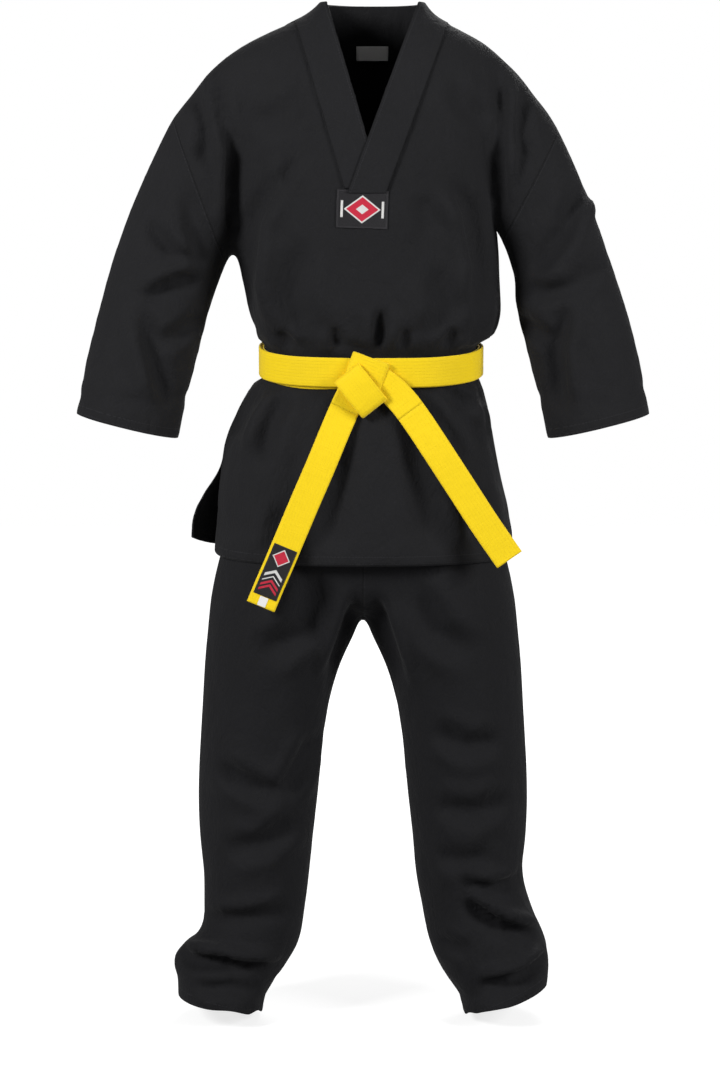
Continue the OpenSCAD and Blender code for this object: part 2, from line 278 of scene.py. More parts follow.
def piece(name, skin, chosen, thick=CLOTH_T, lift=0.0, inner=0.0, free=None, bend=None, seams=None):
    """A cloth piece with real thickness, from the chosen faces of a skin.

    lift and thick are distances along the normals, single or one for each vertex. free(a, b) says whether
    the edge from point a to point b is a real edge of the cloth. bend(co) moves the finished outer points."""
    picked = np.nonzero(chosen)[0]
    faces = [skin.faces[i] for i in picked]
    ids = sorted({v for f in faces for v in f})
    new = {v: k for k, v in enumerate(ids)}
    count = len(ids)
    co, n = skin.co[ids], skin.n[ids]
    per = lambda value: (value(co) if callable(value) else np.full(count, value))[:, None]
    outer = co + n * (per(lift) + inner)
    under = co + n * (per(lift) + inner - per(thick))
    if bend is not None:
        shift = bend(co)
        outer, under = outer + shift, under + shift
    top = [tuple(new[v] for v in f) for f in faces]
    bottom = [tuple(v + count for v in reversed(f)) for f in top]
    used = {}
    for f in top:
        for a, b in zip(f, f[1:] + f[:1]):
            used.setdefault((min(a, b), max(a, b)), []).append((a, b))
    rims = []
    for key, sides in used.items():
        if len(sides) > 1:
            continue
        a, b = sides[0]
        ia, ib = ids[a], ids[b]
        if (min(ia, ib), max(ia, ib)) in skin.open_edges or free is True \
                or (free is not None and free(co[a], co[b])):
            rims.append((b, a, a + count, b + count))
    ob = new_object(name + CLOTH, np.concatenate([outer, under]), top + bottom + rims)
    mesh = ob.data
    loop_n = np.concatenate([n, -n])[loop_vertices(mesh)]
    if rims:
        start = len(top) + len(bottom)
        first = mesh.polygons[start].loop_start
        loop_n[first:] = np.repeat(read(mesh.polygons, "normal")[start:], 4, axis=0)
    if bend is None:
        mesh.normals_split_custom_set([tuple(v) for v in loop_n])
    if seams is not None:
        values = seams(co)
        attribute = mesh.attributes.new("seams", "FLOAT_VECTOR", "POINT")
        attribute.data.foreach_set("vector", np.concatenate([values, values]).astype(np.float32).ravel())
    return ob


def strip(name, centre, across, out, width, thick):
    """A flat band along centre. UVs are metres along it and across it."""
    centre, across, out = (np.asarray(a, float) for a in (centre, across, out))
    across = across / np.linalg.norm(across, axis=1)[:, None]
    out = out / np.linalg.norm(out, axis=1)[:, None]
    half, r = width / 2, thick / 2
    flat = np.linspace(half - r, -half + r, 13)
    bow = [math.radians(a) for a in (60, 30, 0, -30, -60)]
    profile = [(a, r) for a in flat]
    profile += [(-half + r - r * math.cos(b), r * math.sin(b)) for b in bow]
    profile += [(a, -r) for a in flat[::-1]]
    profile += [(half - r + r * math.cos(b), -r * math.sin(b)) for b in bow]
    profile = np.array(profile)
    size, count = len(profile), len(centre)
    length = np.concatenate([[0], np.cumsum(np.linalg.norm(np.diff(centre, axis=0), axis=1))])
    verts, uv = [], []
    for i in range(count):
        verts.append(centre[i] + profile[:, :1] * across[i] + profile[:, 1:] * out[i])
        uv.append(np.stack([np.full(size, length[i]), profile[:, 0]], 1))
    faces = []
    for i in range(count - 1):
        for k in range(size):
            a, b = i * size + k, i * size + (k + 1) % size
            faces.append((a, a + size, b + size, b))
    faces.append(tuple(range(size)))
    faces.append(tuple(reversed(range((count - 1) * size, count * size))))
    ob = new_object(name + CLOTH, np.concatenate(verts), faces)
    for end in ob.data.polygons[-2:]:
        end.use_smooth = False
    set_uv(ob, np.concatenate(uv))
    bm = bmesh.new()
    bm.from_mesh(ob.data)
    bmesh.ops.recalc_face_normals(bm, faces=bm.faces)
    bm.to_mesh(ob.data)
    bm.free()
    return ob


# ---------------------------------------------------------------- shapes
# Sections are [x, y, z, half width, half depth, lean, pitch] in mm and degrees.
# Lean and pitch are 0 where they're left out.
JACKET = [
    [3, 0, 640, 203, 132],
    [2, 0, 690, 202, 132],
    [-1, 0, 730, 199, 129],
    [-4, 0, 780, 191, 125, 0, 2],
    [-4, 0, 821, 184, 119, 0, 4],
    [1, 0, 860, 171, 111, 0, 5],
    [6, 0, 888, 158, 103, 0, 6],
    [9, 0, 906, 146, 98, 0, 6],
    [10, 0, 921, 143, 97, 0, 6],
    [10, 0, 938, 146, 99, 0, 6],
    [17, 0, 956, 161, 109, 0, 4],
    [18, 0, 972, 168, 116, 0, 2],
    [17, 0, 990, 173, 121],
    [13, 0, 1020, 175, 122],
    [8, 0, 1060, 178, 121],
    [5, 0, 1107, 180, 122],
    [4, 0, 1160, 180, 121],
    [3, 0, 1220, 182, 116],
    [2, 0, 1272, 186, 106],
    [2, 2, 1310, 189, 93],
    [1, 4, 1334, 186, 82],
    [4, 6, 1352, 160, 74],
    [6, 8, 1370, 124, 68],
    [9, 10, 1385, 90, 63],
    [13, 10, 1404, 69, 60],
    [13, 10, 1440, 66, 59],
]
SLEEVE = [
    [100, 4, 1312, 50, 56, 66],
    [129, 4, 1296, 62, 60, 58],
    [159, 0, 1264, 71, 62, 45],
    [176, 0, 1240, 72, 64, 37],
    [194, 0, 1215, 75, 66, 31],
    [225, -2, 1153, 75, 68, 26],
    [252, -6, 1093, 74, 68, 21],
    [275, -12, 1030, 73, 66, 18],
    [292, -20, 967, 73, 65, 16],
    [308, -30, 902, 73, 64, 14.5],
    [321, -40, 835, 72, 63, 14],
    [329, -46, 790, 71, 62, 14],
]
# The wearer's left armpit sits higher
SLEEVE_LEFT = SLEEVE[:4] + [
    [198, 0, 1215, 71, 66, 31],
    [238, -2, 1153, 62, 68, 26],
    [265, -6, 1093, 59, 68, 21],
    [275, -12, 1030, 70, 66, 18],
] + SLEEVE[8:]
SEAT = [
    [10, 0, 950, 132, 88],
    [10, 0, 905, 133, 90],
    [6, 0, 868, 144, 97],
    [2, 0, 828, 161, 104],
    [0, 0, 794, 171, 108],
    [0, 0, 761, 178, 111],
    [0, 0, 728, 184, 112],
    [0, 0, 690, 189, 113],
    [0, 0, 650, 195, 112],
    [0, 0, 615, 200, 104],
    [0, 0, 590, 190, 80],
    [0, 0, 578, 120, 45],
]
LEG = [
    [88, 0, 690, 98, 108],
    [96, 0, 640, 106, 110],
    [104, 0, 600, 107, 110],
    [111, 0, 556, 104, 106],
    [125, 0, 506, 95, 102],
    [134, 0, 457, 89, 97],
    [140, 0, 407, 86, 93],
    [144, 0, 357, 85, 90],
    [147, 0, 308, 83, 87],
    [149, 0, 258, 79, 85],
    [149, 0, 208, 74, 83],
    [152, 0, 159, 71, 81],
    [155, -1, 128, 70, 81],
    [170, -4, 106, 80, 82],
    [184, -8, 88, 83, 82],
    [192, -14, 52, 69, 83, 0, -4],
    [203, -18, 15, 57, 84, 0, -6],
    [206, -20, -30, 54, 84, 0, -6],
]
# The wearer's left leg widens over a longer stretch
LEG_LEFT = LEG[:10] + [
    [149, 0, 208, 75, 83],
    [160, -1, 159, 77, 81],
    [172, -4, 120, 82, 82],
    [182, -8, 88, 80, 82],
] + LEG[-3:]
# What the sleeves and the trouser legs rest on while they are draped
ARM = [
    [60, 4, 1322, 40, 40, 75],
    [120, 4, 1292, 50, 48, 58],
    [175, 2, 1228, 52, 50, 33],
    [225, -2, 1140, 50, 50, 25],
    [268, -10, 1030, 47, 48, 20],
    [294, -26, 935, 42, 43, 15],
    [318, -44, 830, 35, 36, 13],
    [336, -56, 740, 30, 34, 12],
]
SHIN = [
    [92, 0, 690, 84, 94],
    [112, 0, 560, 82, 88],
    [134, 0, 457, 70, 76],
    [144, 0, 357, 58, 62],
    [150, 6, 258, 54, 60],
    [160, 10, 159, 44, 48],
    [176, 6, 88, 40, 46],
    [188, -14, 40, 44, 74],
    [192, -24, -10, 48, 96],
]

VEE = Vector((0.006, 0, 1.221))
NECK_X = 0.013
NECK_HALF = 0.061
BAND = 0.0508                # width of the neck band, measured level
UNDER_BAND = 0.012           # how far the jacket's edge is from the band's edge, under the band
LEFT_SLOPE = (NECK_X + NECK_HALF - VEE.x) / (collar_top - VEE.z)
RIGHT_SLOPE = (VEE.x - NECK_X + NECK_HALF) / (collar_top - VEE.z)
BAND_FOOT = 1.1495           # where the left band runs out, under the patch
NECK_BACK = 0.01             # the shoulder joint between the front and back bands
PATCH = Vector((-0.001, 0, 1.1275))
PATCH_W, PATCH_H = 0.068, 0.05
PATCH_TURN = math.radians(2)
BELT_Z, BELT_X = 0.921, 0.011
BELT_PITCH = math.radians(6)
BELT_W, BELT_T = 0.04, 0.0038
WAIST_W, WAIST_D = 0.1445, 0.1015
SKIRT_TOP = 0.893
VENT_TOP = 0.884
SEAT_END = 0.562
KNEE_CUT = 0.435
WAIST_SEAM = 0.908
SHOULDER_SEAM = {1: (0.266, 1.236), -1: (-0.256, 1.248)}
armpit = {}                  # where the body and the sleeve part, found on the draped jacket
ELBOW = {s: Vector((s * 0.282, -0.016, 0.998)) for s in (1, -1)}
DOWN_ARM = {s: Vector((s * math.sin(math.radians(17)), 0, -math.cos(math.radians(17)))) for s in (1, -1)}
CUFF = {s: Vector((s * 0.3235, -0.042, 0.836)) for s in (1, -1)}
CUFF_OUT = {s: Vector((s * math.sin(math.radians(14)), 0, -math.cos(math.radians(14)))) for s in (1, -1)}
LEG_END = {1: Vector((0.19, -0.018, 0.022)), -1: Vector((-0.19, -0.018, 0.018))}
LEG_OUT = {1: Vector((0.42, -0.08, -1)).normalized(), -1: Vector((-0.24, -0.08, -1)).normalized()}


def find_armpits(ob):
    co, n = coords(ob.data), normals(ob.data)
    for side in (1, -1):
        x = side * co[:, 0]
        low = (n[:, 2] < -0.6) & (np.abs(co[:, 1]) < 0.01) & (x > 0.15) & (x < 0.23) & (co[:, 2] > 1.0)
        best = co[low][np.argmax(co[low][:, 2])]
        armpit[side] = (best[0] + side * 0.012, best[2] - 0.004)


def armhole_plane(side):
    (x0, z0), (x1, z1) = SHOULDER_SEAM[side], armpit[side]
    normal = Vector((side * (z0 - z1), 0, -side * (x0 - x1))).normalized()
    return Vector((x0, 0, z0)), normal


def at_armhole(side, x, z):
    """Whether a point is where the armhole seam may run, and not down the side of the body."""
    return (side * x > 0.15) & (z > armpit[side][1] - 0.022)


def side_name(side):
    return "left" if side > 0 else "right"


def beyond(co, point, normal):
    """Signed distance past a plane."""
    return (co - np.array(point)) @ np.array(normal)


def build_jacket():
    parts = [loft(JACKET, power=2.25), loft(SLEEVE_LEFT, power=2.05), loft(flipped(SLEEVE), power=2.05)]
    ob = fused("jacket", parts, VOXEL)
    relax(ob, SMOOTHING)
    planes = [((0, 0, hem_lo), (0, 0, -1), lambda c: abs(c.x) < 0.245 and c.z < 0.75),
              ((0, 0, collar_top), (0, 0, 1), lambda c: True)]
    for side in (1, -1):
        planes.append((CUFF[side], CUFF_OUT[side], lambda c, s=side: s * c.x > 0.22 and c.z < 0.95))
    cut(ob, planes)
    return ob


def build_trousers():
    parts = [loft(SEAT, power=2.25), loft(LEG_LEFT, power=2.05), loft(flipped(LEG), power=2.05)]
    ob = fused("trousers", parts, VOXEL)
    relax(ob, SMOOTHING)
    planes = [((0, 0, WAIST_SEAM), (0, 0, 1), lambda c: True)]
    for side in (1, -1):
        planes.append((LEG_END[side], LEG_OUT[side], lambda c, s=side: s * c.x > 0 and c.z < 0.2))
    cut(ob, planes)
    return ob


def crease(co, n, points, width, depth, lean, facing):
    """A valley along (x, z) points on the front (facing -1) or back (1), with a low ridge on each side.

    With lean 1 or -1 the ridge stands on one side only: 1 is towards -X on a line down the front."""
    points = np.array([(x, 0, z) for x, z in points], float) * MM
    flat = co * (1, 0, 1)
    spans = np.linalg.norm(np.diff(points, axis=0), axis=1)
    nearest = np.full(len(co), 9.0)
    run, side, done = np.zeros(len(co)), np.zeros(len(co)), 0.0
    for a, b, span in zip(points, points[1:], spans):
        d = (b - a) / span
        t = np.clip((flat - a) @ d, 0, span)
        off = flat - (a + t[:, None] * d)
        r = np.linalg.norm(off, axis=1)
        closer = r < nearest
        nearest = np.where(closer, r, nearest)
        run = np.where(closer, (done + t) / spans.sum(), run)
        side = np.where(closer, np.sign(off @ np.cross(d, (0, facing, 0))), side)
        done += span
    r = nearest / (width * MM)
    strength = depth * MM * smooth(run, 0, 0.3) * smooth(1 - run, 0, 0.3)
    strength *= smooth(facing * n[:, 1], 0.02, 0.4)
    ridge = np.exp(-((r - 1.9) / 0.8) ** 2) * (1 + lean * side) * (0.55 - 0.1 * abs(lean))
    return strength * (ridge - np.exp(-r ** 2))


def pleats(co, z, spread_up, spread_down, amount):
    """Gathers that run up and down from a line pulled tight at height z."""
    angle = np.arctan2(co[:, 1] * 1.35, co[:, 0])
    wave = np.zeros(len(co))
    for k, f in enumerate((9, 14, 21, 31)):
        wave += np.sin(f * angle + 1.7 * k + 1.1 * np.sin(3 * angle + k)) / (1 + 0.55 * k)
    dz = co[:, 2] - z
    fade = np.where(dz > 0, np.exp(-(dz / spread_up) ** 2), np.exp(-(dz / spread_down) ** 2))
    return amount * wave * fade


# Creases are (points (x, z) in mm, width, depth, lean)
JACKET_FRONT = [
    # armholes
    ([(-200, 1330), (-190, 1262), (-176, 1205), (-178, 1120), (-172, 1070)], 8, 8, 1),
    ([(180, 1330), (186, 1262), (183, 1180), (187, 1118)], 8, 8, -1),
    ([(-222, 1290), (-208, 1240), (-216, 1180)], 11, 5, 0),
    ([(214, 1288), (208, 1230), (222, 1180)], 11, 5, 0),
    # along the sleeves to the elbows
    ([(302, 1180), (268, 1095), (217, 1031)], 12, 8, -1),
    ([(-238, 1160), (-224, 1090), (-214, 1045)], 11, 5, 1),
    ([(-296, 1120), (-262, 1074), (-218, 1046)], 10, 5, -1),
    ([(-212, 1036), (-250, 1030), (-298, 1004)], 10, 8, 1),
    ([(-296, 1006), (-282, 939), (-262, 856)], 11, 7, 1),
    ([(-214, 990), (-250, 960), (-280, 950)], 10, 5, 0),
    ([(274, 1018), (260, 939), (268, 846)], 11, 7, -1),
    ([(212, 1024), (250, 1016), (290, 1028)], 10, 6, 0),
    ([(206, 985), (240, 960), (262, 945)], 10, 5, 0),
    ([(330, 1070), (300, 1040), (276, 1012)], 11, 4, 0),
    # chest, from the arms down to the belt
    ([(-112, 1184), (-150, 1114), (-160, 1022), (-146, 958)], 13, 7, -1),
    ([(108, 1176), (143, 1132), (160, 1050), (150, 985)], 13, 7, 1),
    ([(-60, 1290), (-110, 1250), (-160, 1240)], 15, 4, 0),
    ([(110, 1300), (140, 1260), (172, 1240)], 14, 4, 0),
    ([(-96, 1196), (-106, 1160)], 9, 4, 0), ([(78, 1150), (96, 1090)], 16, 4, 0),
    ([(-84, 1100), (-96, 1010), (-70, 950)], 18, 5, 0), ([(96, 1060), (110, 1000), (92, 950)], 16, 5, 0),
    # drawn in over the belt
    ([(24, 1000), (23, 940)], 8, 9, 0),
    ([(-40, 975), (-30, 940)], 8, 5, 0), ([(58, 972), (50, 940)], 8, 5, 0),
    ([(-112, 968), (-96, 940)], 8, 5, 0), ([(128, 972), (108, 942)], 8, 5, 0),
    # skirt
    ([(-128, 896), (-158, 858), (-182, 812)], 10, 6, 0),
    ([(-92, 892), (-124, 850), (-140, 780)], 12, 6, 0),
    ([(-24, 850), (-34, 760), (-50, 650)], 18, 6, 1), ([(64, 840), (76, 760), (100, 660)], 18, 6, -1),
    ([(98, 892), (134, 872), (172, 866)], 10, 6, 0), ([(112, 880), (146, 846), (168, 806)], 11, 6, 0),
    ([(-100, 740), (-112, 660)], 16, 4, 0), ([(150, 760), (160, 672)], 14, 5, 0),
]
JACKET_BACK = [
    ([(-190, 1320), (-178, 1230), (-172, 1080)], 9, 8, 0),
    ([(190, 1320), (182, 1230), (182, 1110)], 9, 8, 0),
    ([(-150, 1220), (-118, 1120), (-96, 960)], 17, 8, 0),
    ([(150, 1220), (122, 1110), (104, 960)], 17, 8, 0),
    ([(-30, 1240), (-10, 1120), (-20, 955)], 18, 6, 0), ([(58, 1120), (44, 955)], 12, 6, 0),
    ([(-66, 1060), (-52, 955)], 12, 6, 0), ([(-298, 1010), (-250, 1000), (-212, 1020)], 10, 6, 0),
    ([(298, 1010), (250, 1000), (212, 1020)], 10, 6, 0),
    ([(-60, 890), (-76, 780), (-90, 690)], 16, 6, 0),
    ([(70, 890), (84, 780), (92, 680)], 16, 6, 0), ([(4, 890), (8, 800)], 12, 5, 0),
    ([(-130, 890), (-168, 820)], 11, 5, 0), ([(136, 890), (166, 820)], 11, 5, 0),
]
TROUSER_FRONT = [
    # from the crotch
    ([(-4, 620), (-26, 550), (-50, 480)], 9, 6, 1), ([(12, 620), (34, 548), (58, 470)], 9, 6, -1),
    ([(-50, 640), (-86, 560), (-150, 520)], 17, 8, 0), ([(64, 630), (100, 560), (160, 520)], 17, 7, 0),
    # knees
    ([(-206, 372), (-150, 344), (-108, 330)], 13, 7, 0),
    ([(-114, 322), (-84, 372), (-60, 420)], 13, 6, 0),
    ([(-196, 250), (-140, 262), (-84, 300)], 14, 6, 0), ([(90, 430), (140, 400), (196, 408)], 14, 6, 0),
    ([(208, 330), (150, 306), (92, 318)], 14, 6, 0), ([(96, 250), (140, 236), (180, 250)], 13, 5, 0),
    # cloth stacked above the hems
    ([(-226, 150), (-160, 158), (-92, 172)], 10, 6, -1),
    ([(-276, 92), (-197, 95), (-104, 82)], 8.5, 13, -1),
    ([(-240, 56), (-180, 64), (-140, 50)], 9, 5, 0),
    ([(120, 216), (178, 197), (226, 206)], 9, 8, -1), ([(128, 190), (180, 150), (250, 118)], 9, 12, -1),
    ([(150, 62), (215, 74), (268, 96)], 8.5, 11, -1), ([(100, 120), (150, 112)], 10, 5, 0),
]
TROUSER_BACK = [
    ([(0, 640), (-60, 580), (-130, 560)], 15, 8, 0), ([(0, 640), (60, 580), (130, 560)], 15, 8, 0),
    ([(-200, 400), (-140, 380), (-80, 400)], 13, 7, 0),
    ([(-196, 340), (-140, 352), (-84, 336)], 13, 6, 0),
    ([(200, 396), (140, 378), (80, 398)], 13, 7, 0), ([(196, 336), (140, 350), (84, 332)], 13, 6, 0),
    ([(-250, 110), (-180, 118), (-100, 104)], 9, 10, 1),
    ([(250, 108), (180, 118), (100, 104)], 9, 10, -1),
    ([(-230, 170), (-160, 160), (-90, 176)], 11, 5, 0), ([(230, 170), (160, 160), (90, 176)], 11, 5, 0),
]


def body_form(name, solids):
    """What the cloth rests on while it is draped."""
    form = fused(name, solids, 0.011)
    form.modifiers.new("collide", "COLLISION")
    form.collision.thickness_outer = 0.004
    form.collision.cloth_friction = 12
    form.hide_render = True
    return form


def drape(ob, hold):
    """Lets the cloth settle. hold(co) is how firmly each point keeps its place, from 0 to 1."""
    group = ob.vertex_groups.new(name="hold")
    weights = hold(coords(ob.data))
    for step in range(HOLD_STEPS + 1):
        picked = np.nonzero(np.round(weights * HOLD_STEPS) == step)[0]
        if len(picked):
            group.add([int(i) for i in picked], step / HOLD_STEPS, "REPLACE")
    m = ob.modifiers.new("cloth", "CLOTH")
    s = m.settings
    s.quality = 5
    s.mass = 0.25
    s.tension_stiffness = s.compression_stiffness = STIFFNESS
    s.shear_stiffness = STIFFNESS / 3
    s.bending_stiffness = BENDING
    s.tension_damping = s.compression_damping = 8
    s.bending_damping = 0.6
    s.air_damping = 3
    s.vertex_group_mass = "hold"
    s.pin_stiffness = 1.0
    s.shrink_min = SHRINK
    m.collision_settings.use_collision = True
    m.collision_settings.distance_min = 0.003
    m.collision_settings.collision_quality = 2
    m.point_cache.frame_start = 1
    m.point_cache.frame_end = FRAMES
    scene = bpy.context.scene
    for f in range(1, FRAMES + 1):
        scene.frame_set(f)
    dg = bpy.context.evaluated_depsgraph_get()
    mesh = bpy.data.meshes.new_from_object(ob.evaluated_get(dg))
    ob.modifiers.clear()
    old, ob.data = ob.data, mesh
    bpy.data.meshes.remove(old)
    scene.frame_set(1)


def jacket_hold(co):
    z, w = co[:, 2], np.full(len(co), 0.25)
    trunk = np.abs(co[:, 0]) < TRUNK_HALF
    w = np.maximum(w, 0.95 * trunk * hump(z, BELT_Z, 0.022))         # under the belt
    w = np.maximum(w, 0.95 * np.clip((z - 1.32) / 0.05, 0, 1))       # neck and shoulders
    w = np.maximum(w, 0.5 * np.clip((z - 1.22) / 0.15, 0, 1))
    w = np.maximum(w, 0.5 * trunk * hump(z, hem_lo, 0.05))
    return np.maximum(w, 0.5 * ~trunk * hump(z, 0.83, 0.05))         # cuffs


def trouser_hold(co):
    z, w = co[:, 2], np.full(len(co), 0.25)
    w = np.maximum(w, 0.95 * np.clip((z - 0.62) / 0.12, 0, 1))
    return np.maximum(w, 0.6 * np.clip((0.1 - z) / 0.08, 0, 1))


def press_folds(ob, front, back, share=1.0):
    co, n = coords(ob.data), normals(ob.data)
    shift = np.zeros(len(co))
    for facing, folds in ((-1, front), (1, back)):
        for points, width, depth, lean in folds:
            shift += crease(co, n, points, width, share * depth, lean, facing)
    set_coords(ob.data, co + n * shift[:, None])


def gather(ob):
    """Gathers above and below the belt."""
    co, n = coords(ob.data), normals(ob.data)
    shift = pleats(co, BELT_Z, 0.06, 0.1, 0.0024) * smooth(np.abs(co[:, 2] - BELT_Z), 0.012, 0.03)
    set_coords(ob.data, co + n * (shift * (np.abs(co[:, 0]) < TRUNK_HALF))[:, None])


def cinch(ob):
    """Pulls the cloth in under the belt."""
    co = coords(ob.data)
    c, s = math.cos(BELT_PITCH), math.sin(BELT_PITCH)
    dz = co[:, 2] - BELT_Z
    depth, up = co[:, 1] * c + dz * s, -co[:, 1] * s + dz * c
    near = (np.abs(up) < 0.06) & (np.abs(co[:, 0]) < 0.21)
    p = 2.27
    r = ((np.abs(co[:, 0] - BELT_X) / WAIST_W) ** p + (np.abs(depth) / WAIST_D) ** p) ** (1 / p)
    most = 1 + 0.4 * smooth(np.abs(up), 0.019, 0.06)
    pull = np.where(near, np.minimum(1, most / np.maximum(r, 0.01)), 1)
    x, d = BELT_X + (co[:, 0] - BELT_X) * pull, depth * pull
    set_coords(ob.data, np.stack([x, d * c - up * s, BELT_Z + d * s + up * c], 1))


# ---------------------------------------------------------------- the draped garments

jacket = build_jacket()
trousers = build_trousers()
gather(jacket)
garments = ((jacket, JACKET_FRONT, JACKET_BACK), (trousers, TROUSER_FRONT, TROUSER_BACK))
for ob, front, back in garments:
    press_folds(ob, front, back)
legs_form = body_form("legs_form", [loft(SEAT, -0.014), loft(SHIN), loft(flipped(SHIN))])
drape(trousers, trouser_hold)
remove(legs_form)
torso_form = body_form("torso_form", [loft([s for s in JACKET if s[2] > 1000], -0.02), loft(ARM),
                                      loft(flipped(ARM)), loft(SEAT, 0.004)])
drape(jacket, jacket_hold)
remove(torso_form)
for ob, front, back in garments:
    relax(ob, SMOOTHING)
    press_folds(ob, front, back, 0.95)
cinch(jacket)
find_armpits(jacket)

# Cut lines between the pieces
line_cuts = [((0, 0, SKIRT_TOP), (0, 0, 1), lambda c: abs(c.x) < 0.2 and 0.86 < c.z < 0.93),
             ((0, 0, VENT_TOP), (0, 0, 1), lambda c: abs(c.x) < 0.2 and 0.86 < c.z < 0.9),
             ((0, 0, 0), (0, 1, 0), lambda c: abs(c.x) < 0.24 and c.z < SKIRT_TOP)]
for side in (1, -1):
    point, normal = armhole_plane(side)
    line_cuts.append((point, normal, lambda c, s=side: at_armhole(s, c.x, c.z)))
    line_cuts.append((ELBOW[side] - 0.015 * DOWN_ARM[side], DOWN_ARM[side],
                      lambda c, s=side: s * c.x > 0.187 and 0.9 < c.z < 1.15))


def band_line(side, level):
    """Point and normal of the neck band's edge on one side, level metres out from the V's edge."""
    slope = LEFT_SLOPE if side > 0 else -RIGHT_SLOPE
    return (VEE.x + side * level, 0, VEE.z), Vector((1, 0, -slope)).normalized()


for side in (1, -1):
    for level in (0.0, UNDER_BAND, BAND):
        point, normal = band_line(side, level)
        line_cuts.append((point, normal, lambda c: c.y < 0.03 and c.z > 1.12 and abs(c.x) < 0.16))
back_edge = Vector((0, 0.027, 0.065)).normalized()
back_foot = (0, NECK_BACK, 1.379)
line_cuts += [
    ((0, 0, BAND_FOOT), (0, 0, 1),
     lambda c: c.y < 0 and abs(c.z - BAND_FOOT) < 0.03 and abs(c.x) < 0.1),
    ((0, NECK_BACK, 0), (0, 1, 0), lambda c: c.z > 1.33 and abs(c.x) < 0.17),
    (back_foot, back_edge, lambda c: c.y > 0 and c.z > 1.3 and abs(c.x) < 0.17)]
turn = Vector((math.cos(PATCH_TURN), 0, -math.sin(PATCH_TURN)))
rise = Vector((math.sin(PATCH_TURN), 0, math.cos(PATCH_TURN)))
for axis, half in ((turn, PATCH_W / 2), (rise, PATCH_H / 2)):
    for sign in (1, -1):
        line_cuts.append((PATCH + sign * half * axis, axis,
                          lambda c: c.y < 0 and abs(c.x) < 0.06 and 1.08 < c.z < 1.18))
cut(jacket, line_cuts, clear=False)
leg_cuts = [((0, 0, SEAT_END), (0, 0, 1), lambda c: 0.5 < c.z < 0.6),
            ((0, 0, KNEE_CUT), (0, 0, 1), lambda c: 0.4 < c.z < 0.47)]
cut(trousers, leg_cuts, clear=False)

skin = Skin(jacket)
legs = Skin(trousers)
remove(jacket)
remove(trousers)


def level_of(co, side):
    """How far a point lies out from the V's edge on one side, measured level."""
    slope = LEFT_SLOPE if side > 0 else RIGHT_SLOPE
    return side * (co[:, 0] - VEE.x) - slope * (co[:, 2] - VEE.z)


ARM_PLANES = {s: armhole_plane(s) for s in (1, -1)}
c = skin.centre


def in_sleeve(side):
    """Faces past the armhole. Below the armpit they are told from the body's side by place and direction."""
    pit_x, pit_z = armpit[side]
    outward = side * c[:, 0] - 0.01 * side * skin.facing[:, 0]
    below = outward > side * pit_x - 0.01 + 0.12 * (pit_z - c[:, 2])
    return (beyond(c, *ARM_PLANES[side]) > 0) & (side * c[:, 0] > 0.12) & ((c[:, 2] > pit_z + 0.012) | below)


sleeve = {s: in_sleeve(s) for s in (1, -1)}
elbow_start = {s: ELBOW[s] - 0.015 * DOWN_ARM[s] for s in (1, -1)}
lower = {s: sleeve[s] & (beyond(c, elbow_start[s], DOWN_ARM[s]) > 0) for s in (1, -1)}
body = ~sleeve[1] & ~sleeve[-1]
skirt = body & (c[:, 2] < SKIRT_TOP)
coat = body & ~skirt
front_skirt, back_skirt = skirt & (c[:, 1] < 0), skirt & (c[:, 1] > 0)
in_front = c[:, 1] < NECK_BACK
above_foot = c[:, 2] > BAND_FOOT
out_left, out_right = level_of(c, 1), level_of(c, -1)
open_vee = coat & in_front & (out_left < UNDER_BAND) & (out_right < UNDER_BAND) & (c[:, 2] > 1.18)
left_band = coat & in_front & above_foot & (out_left > 0) & (out_left < BAND)
right_band = coat & in_front & (out_right > 0) & (out_right < BAND) & (out_left < UNDER_BAND)
right_band &= c[:, 2] > BAND_FOOT + 0.006
back_band = coat & ~in_front & (beyond(c, back_foot, back_edge) > 0)
offset = c - np.array(PATCH)
patch_faces = coat & (c[:, 1] < 0) & (np.abs(offset @ np.array(turn)) < PATCH_W / 2) \
    & (np.abs(offset @ np.array(rise)) < PATCH_H / 2)

FAR = 1.0


def hem_depth(distance):
    """Cloth thickness near a turned-up hem."""
    return CLOTH_T + HEM_T * (1 - smooth(distance, 0.022, 0.027))


def coat_seams(co):
    side = np.where(co[:, 0] > 0, 1, -1)
    arm = np.where(side > 0, beyond(co, *ARM_PLANES[1]), beyond(co, *ARM_PLANES[-1]))
    arm = np.where(co[:, 2] > np.where(side > 0, armpit[1][1], armpit[-1][1]) - 0.012, arm, FAR)
    return np.stack([arm, co[:, 1] - 0.003, np.full(len(co), FAR)], 1)


def sleeve_seams(side):
    def values(co):
        axis = np.array([side * 0.24, 0, 1.12]) + np.outer(1.12 - co[:, 2], [side * 0.28, -0.14, 0])
        inside = side * (co[:, 0] - axis[:, 0]) < 0
        y = co[:, 1] - axis[:, 1]
        y = np.where(inside, y, np.sign(y) * np.maximum(np.abs(y), 0.03))
        return np.stack([beyond(co, *ARM_PLANES[side]), y, -beyond(co, CUFF[side], CUFF_OUT[side])], 1)
    return values


def skirt_seams(co):
    return np.stack([np.full(len(co), FAR), co[:, 1], co[:, 2] - hem_lo], 1)


def trouser_seams(co):
    side = np.where(co[:, 0] > 0, 1, -1)
    end = np.where(side > 0, -beyond(co, LEG_END[1], LEG_OUT[1]), -beyond(co, LEG_END[-1], LEG_OUT[-1]))
    centre = np.where(co[:, 2] > SEAT_END - 0.001, co[:, 0], FAR)
    return np.stack([centre, co[:, 1], end], 1)


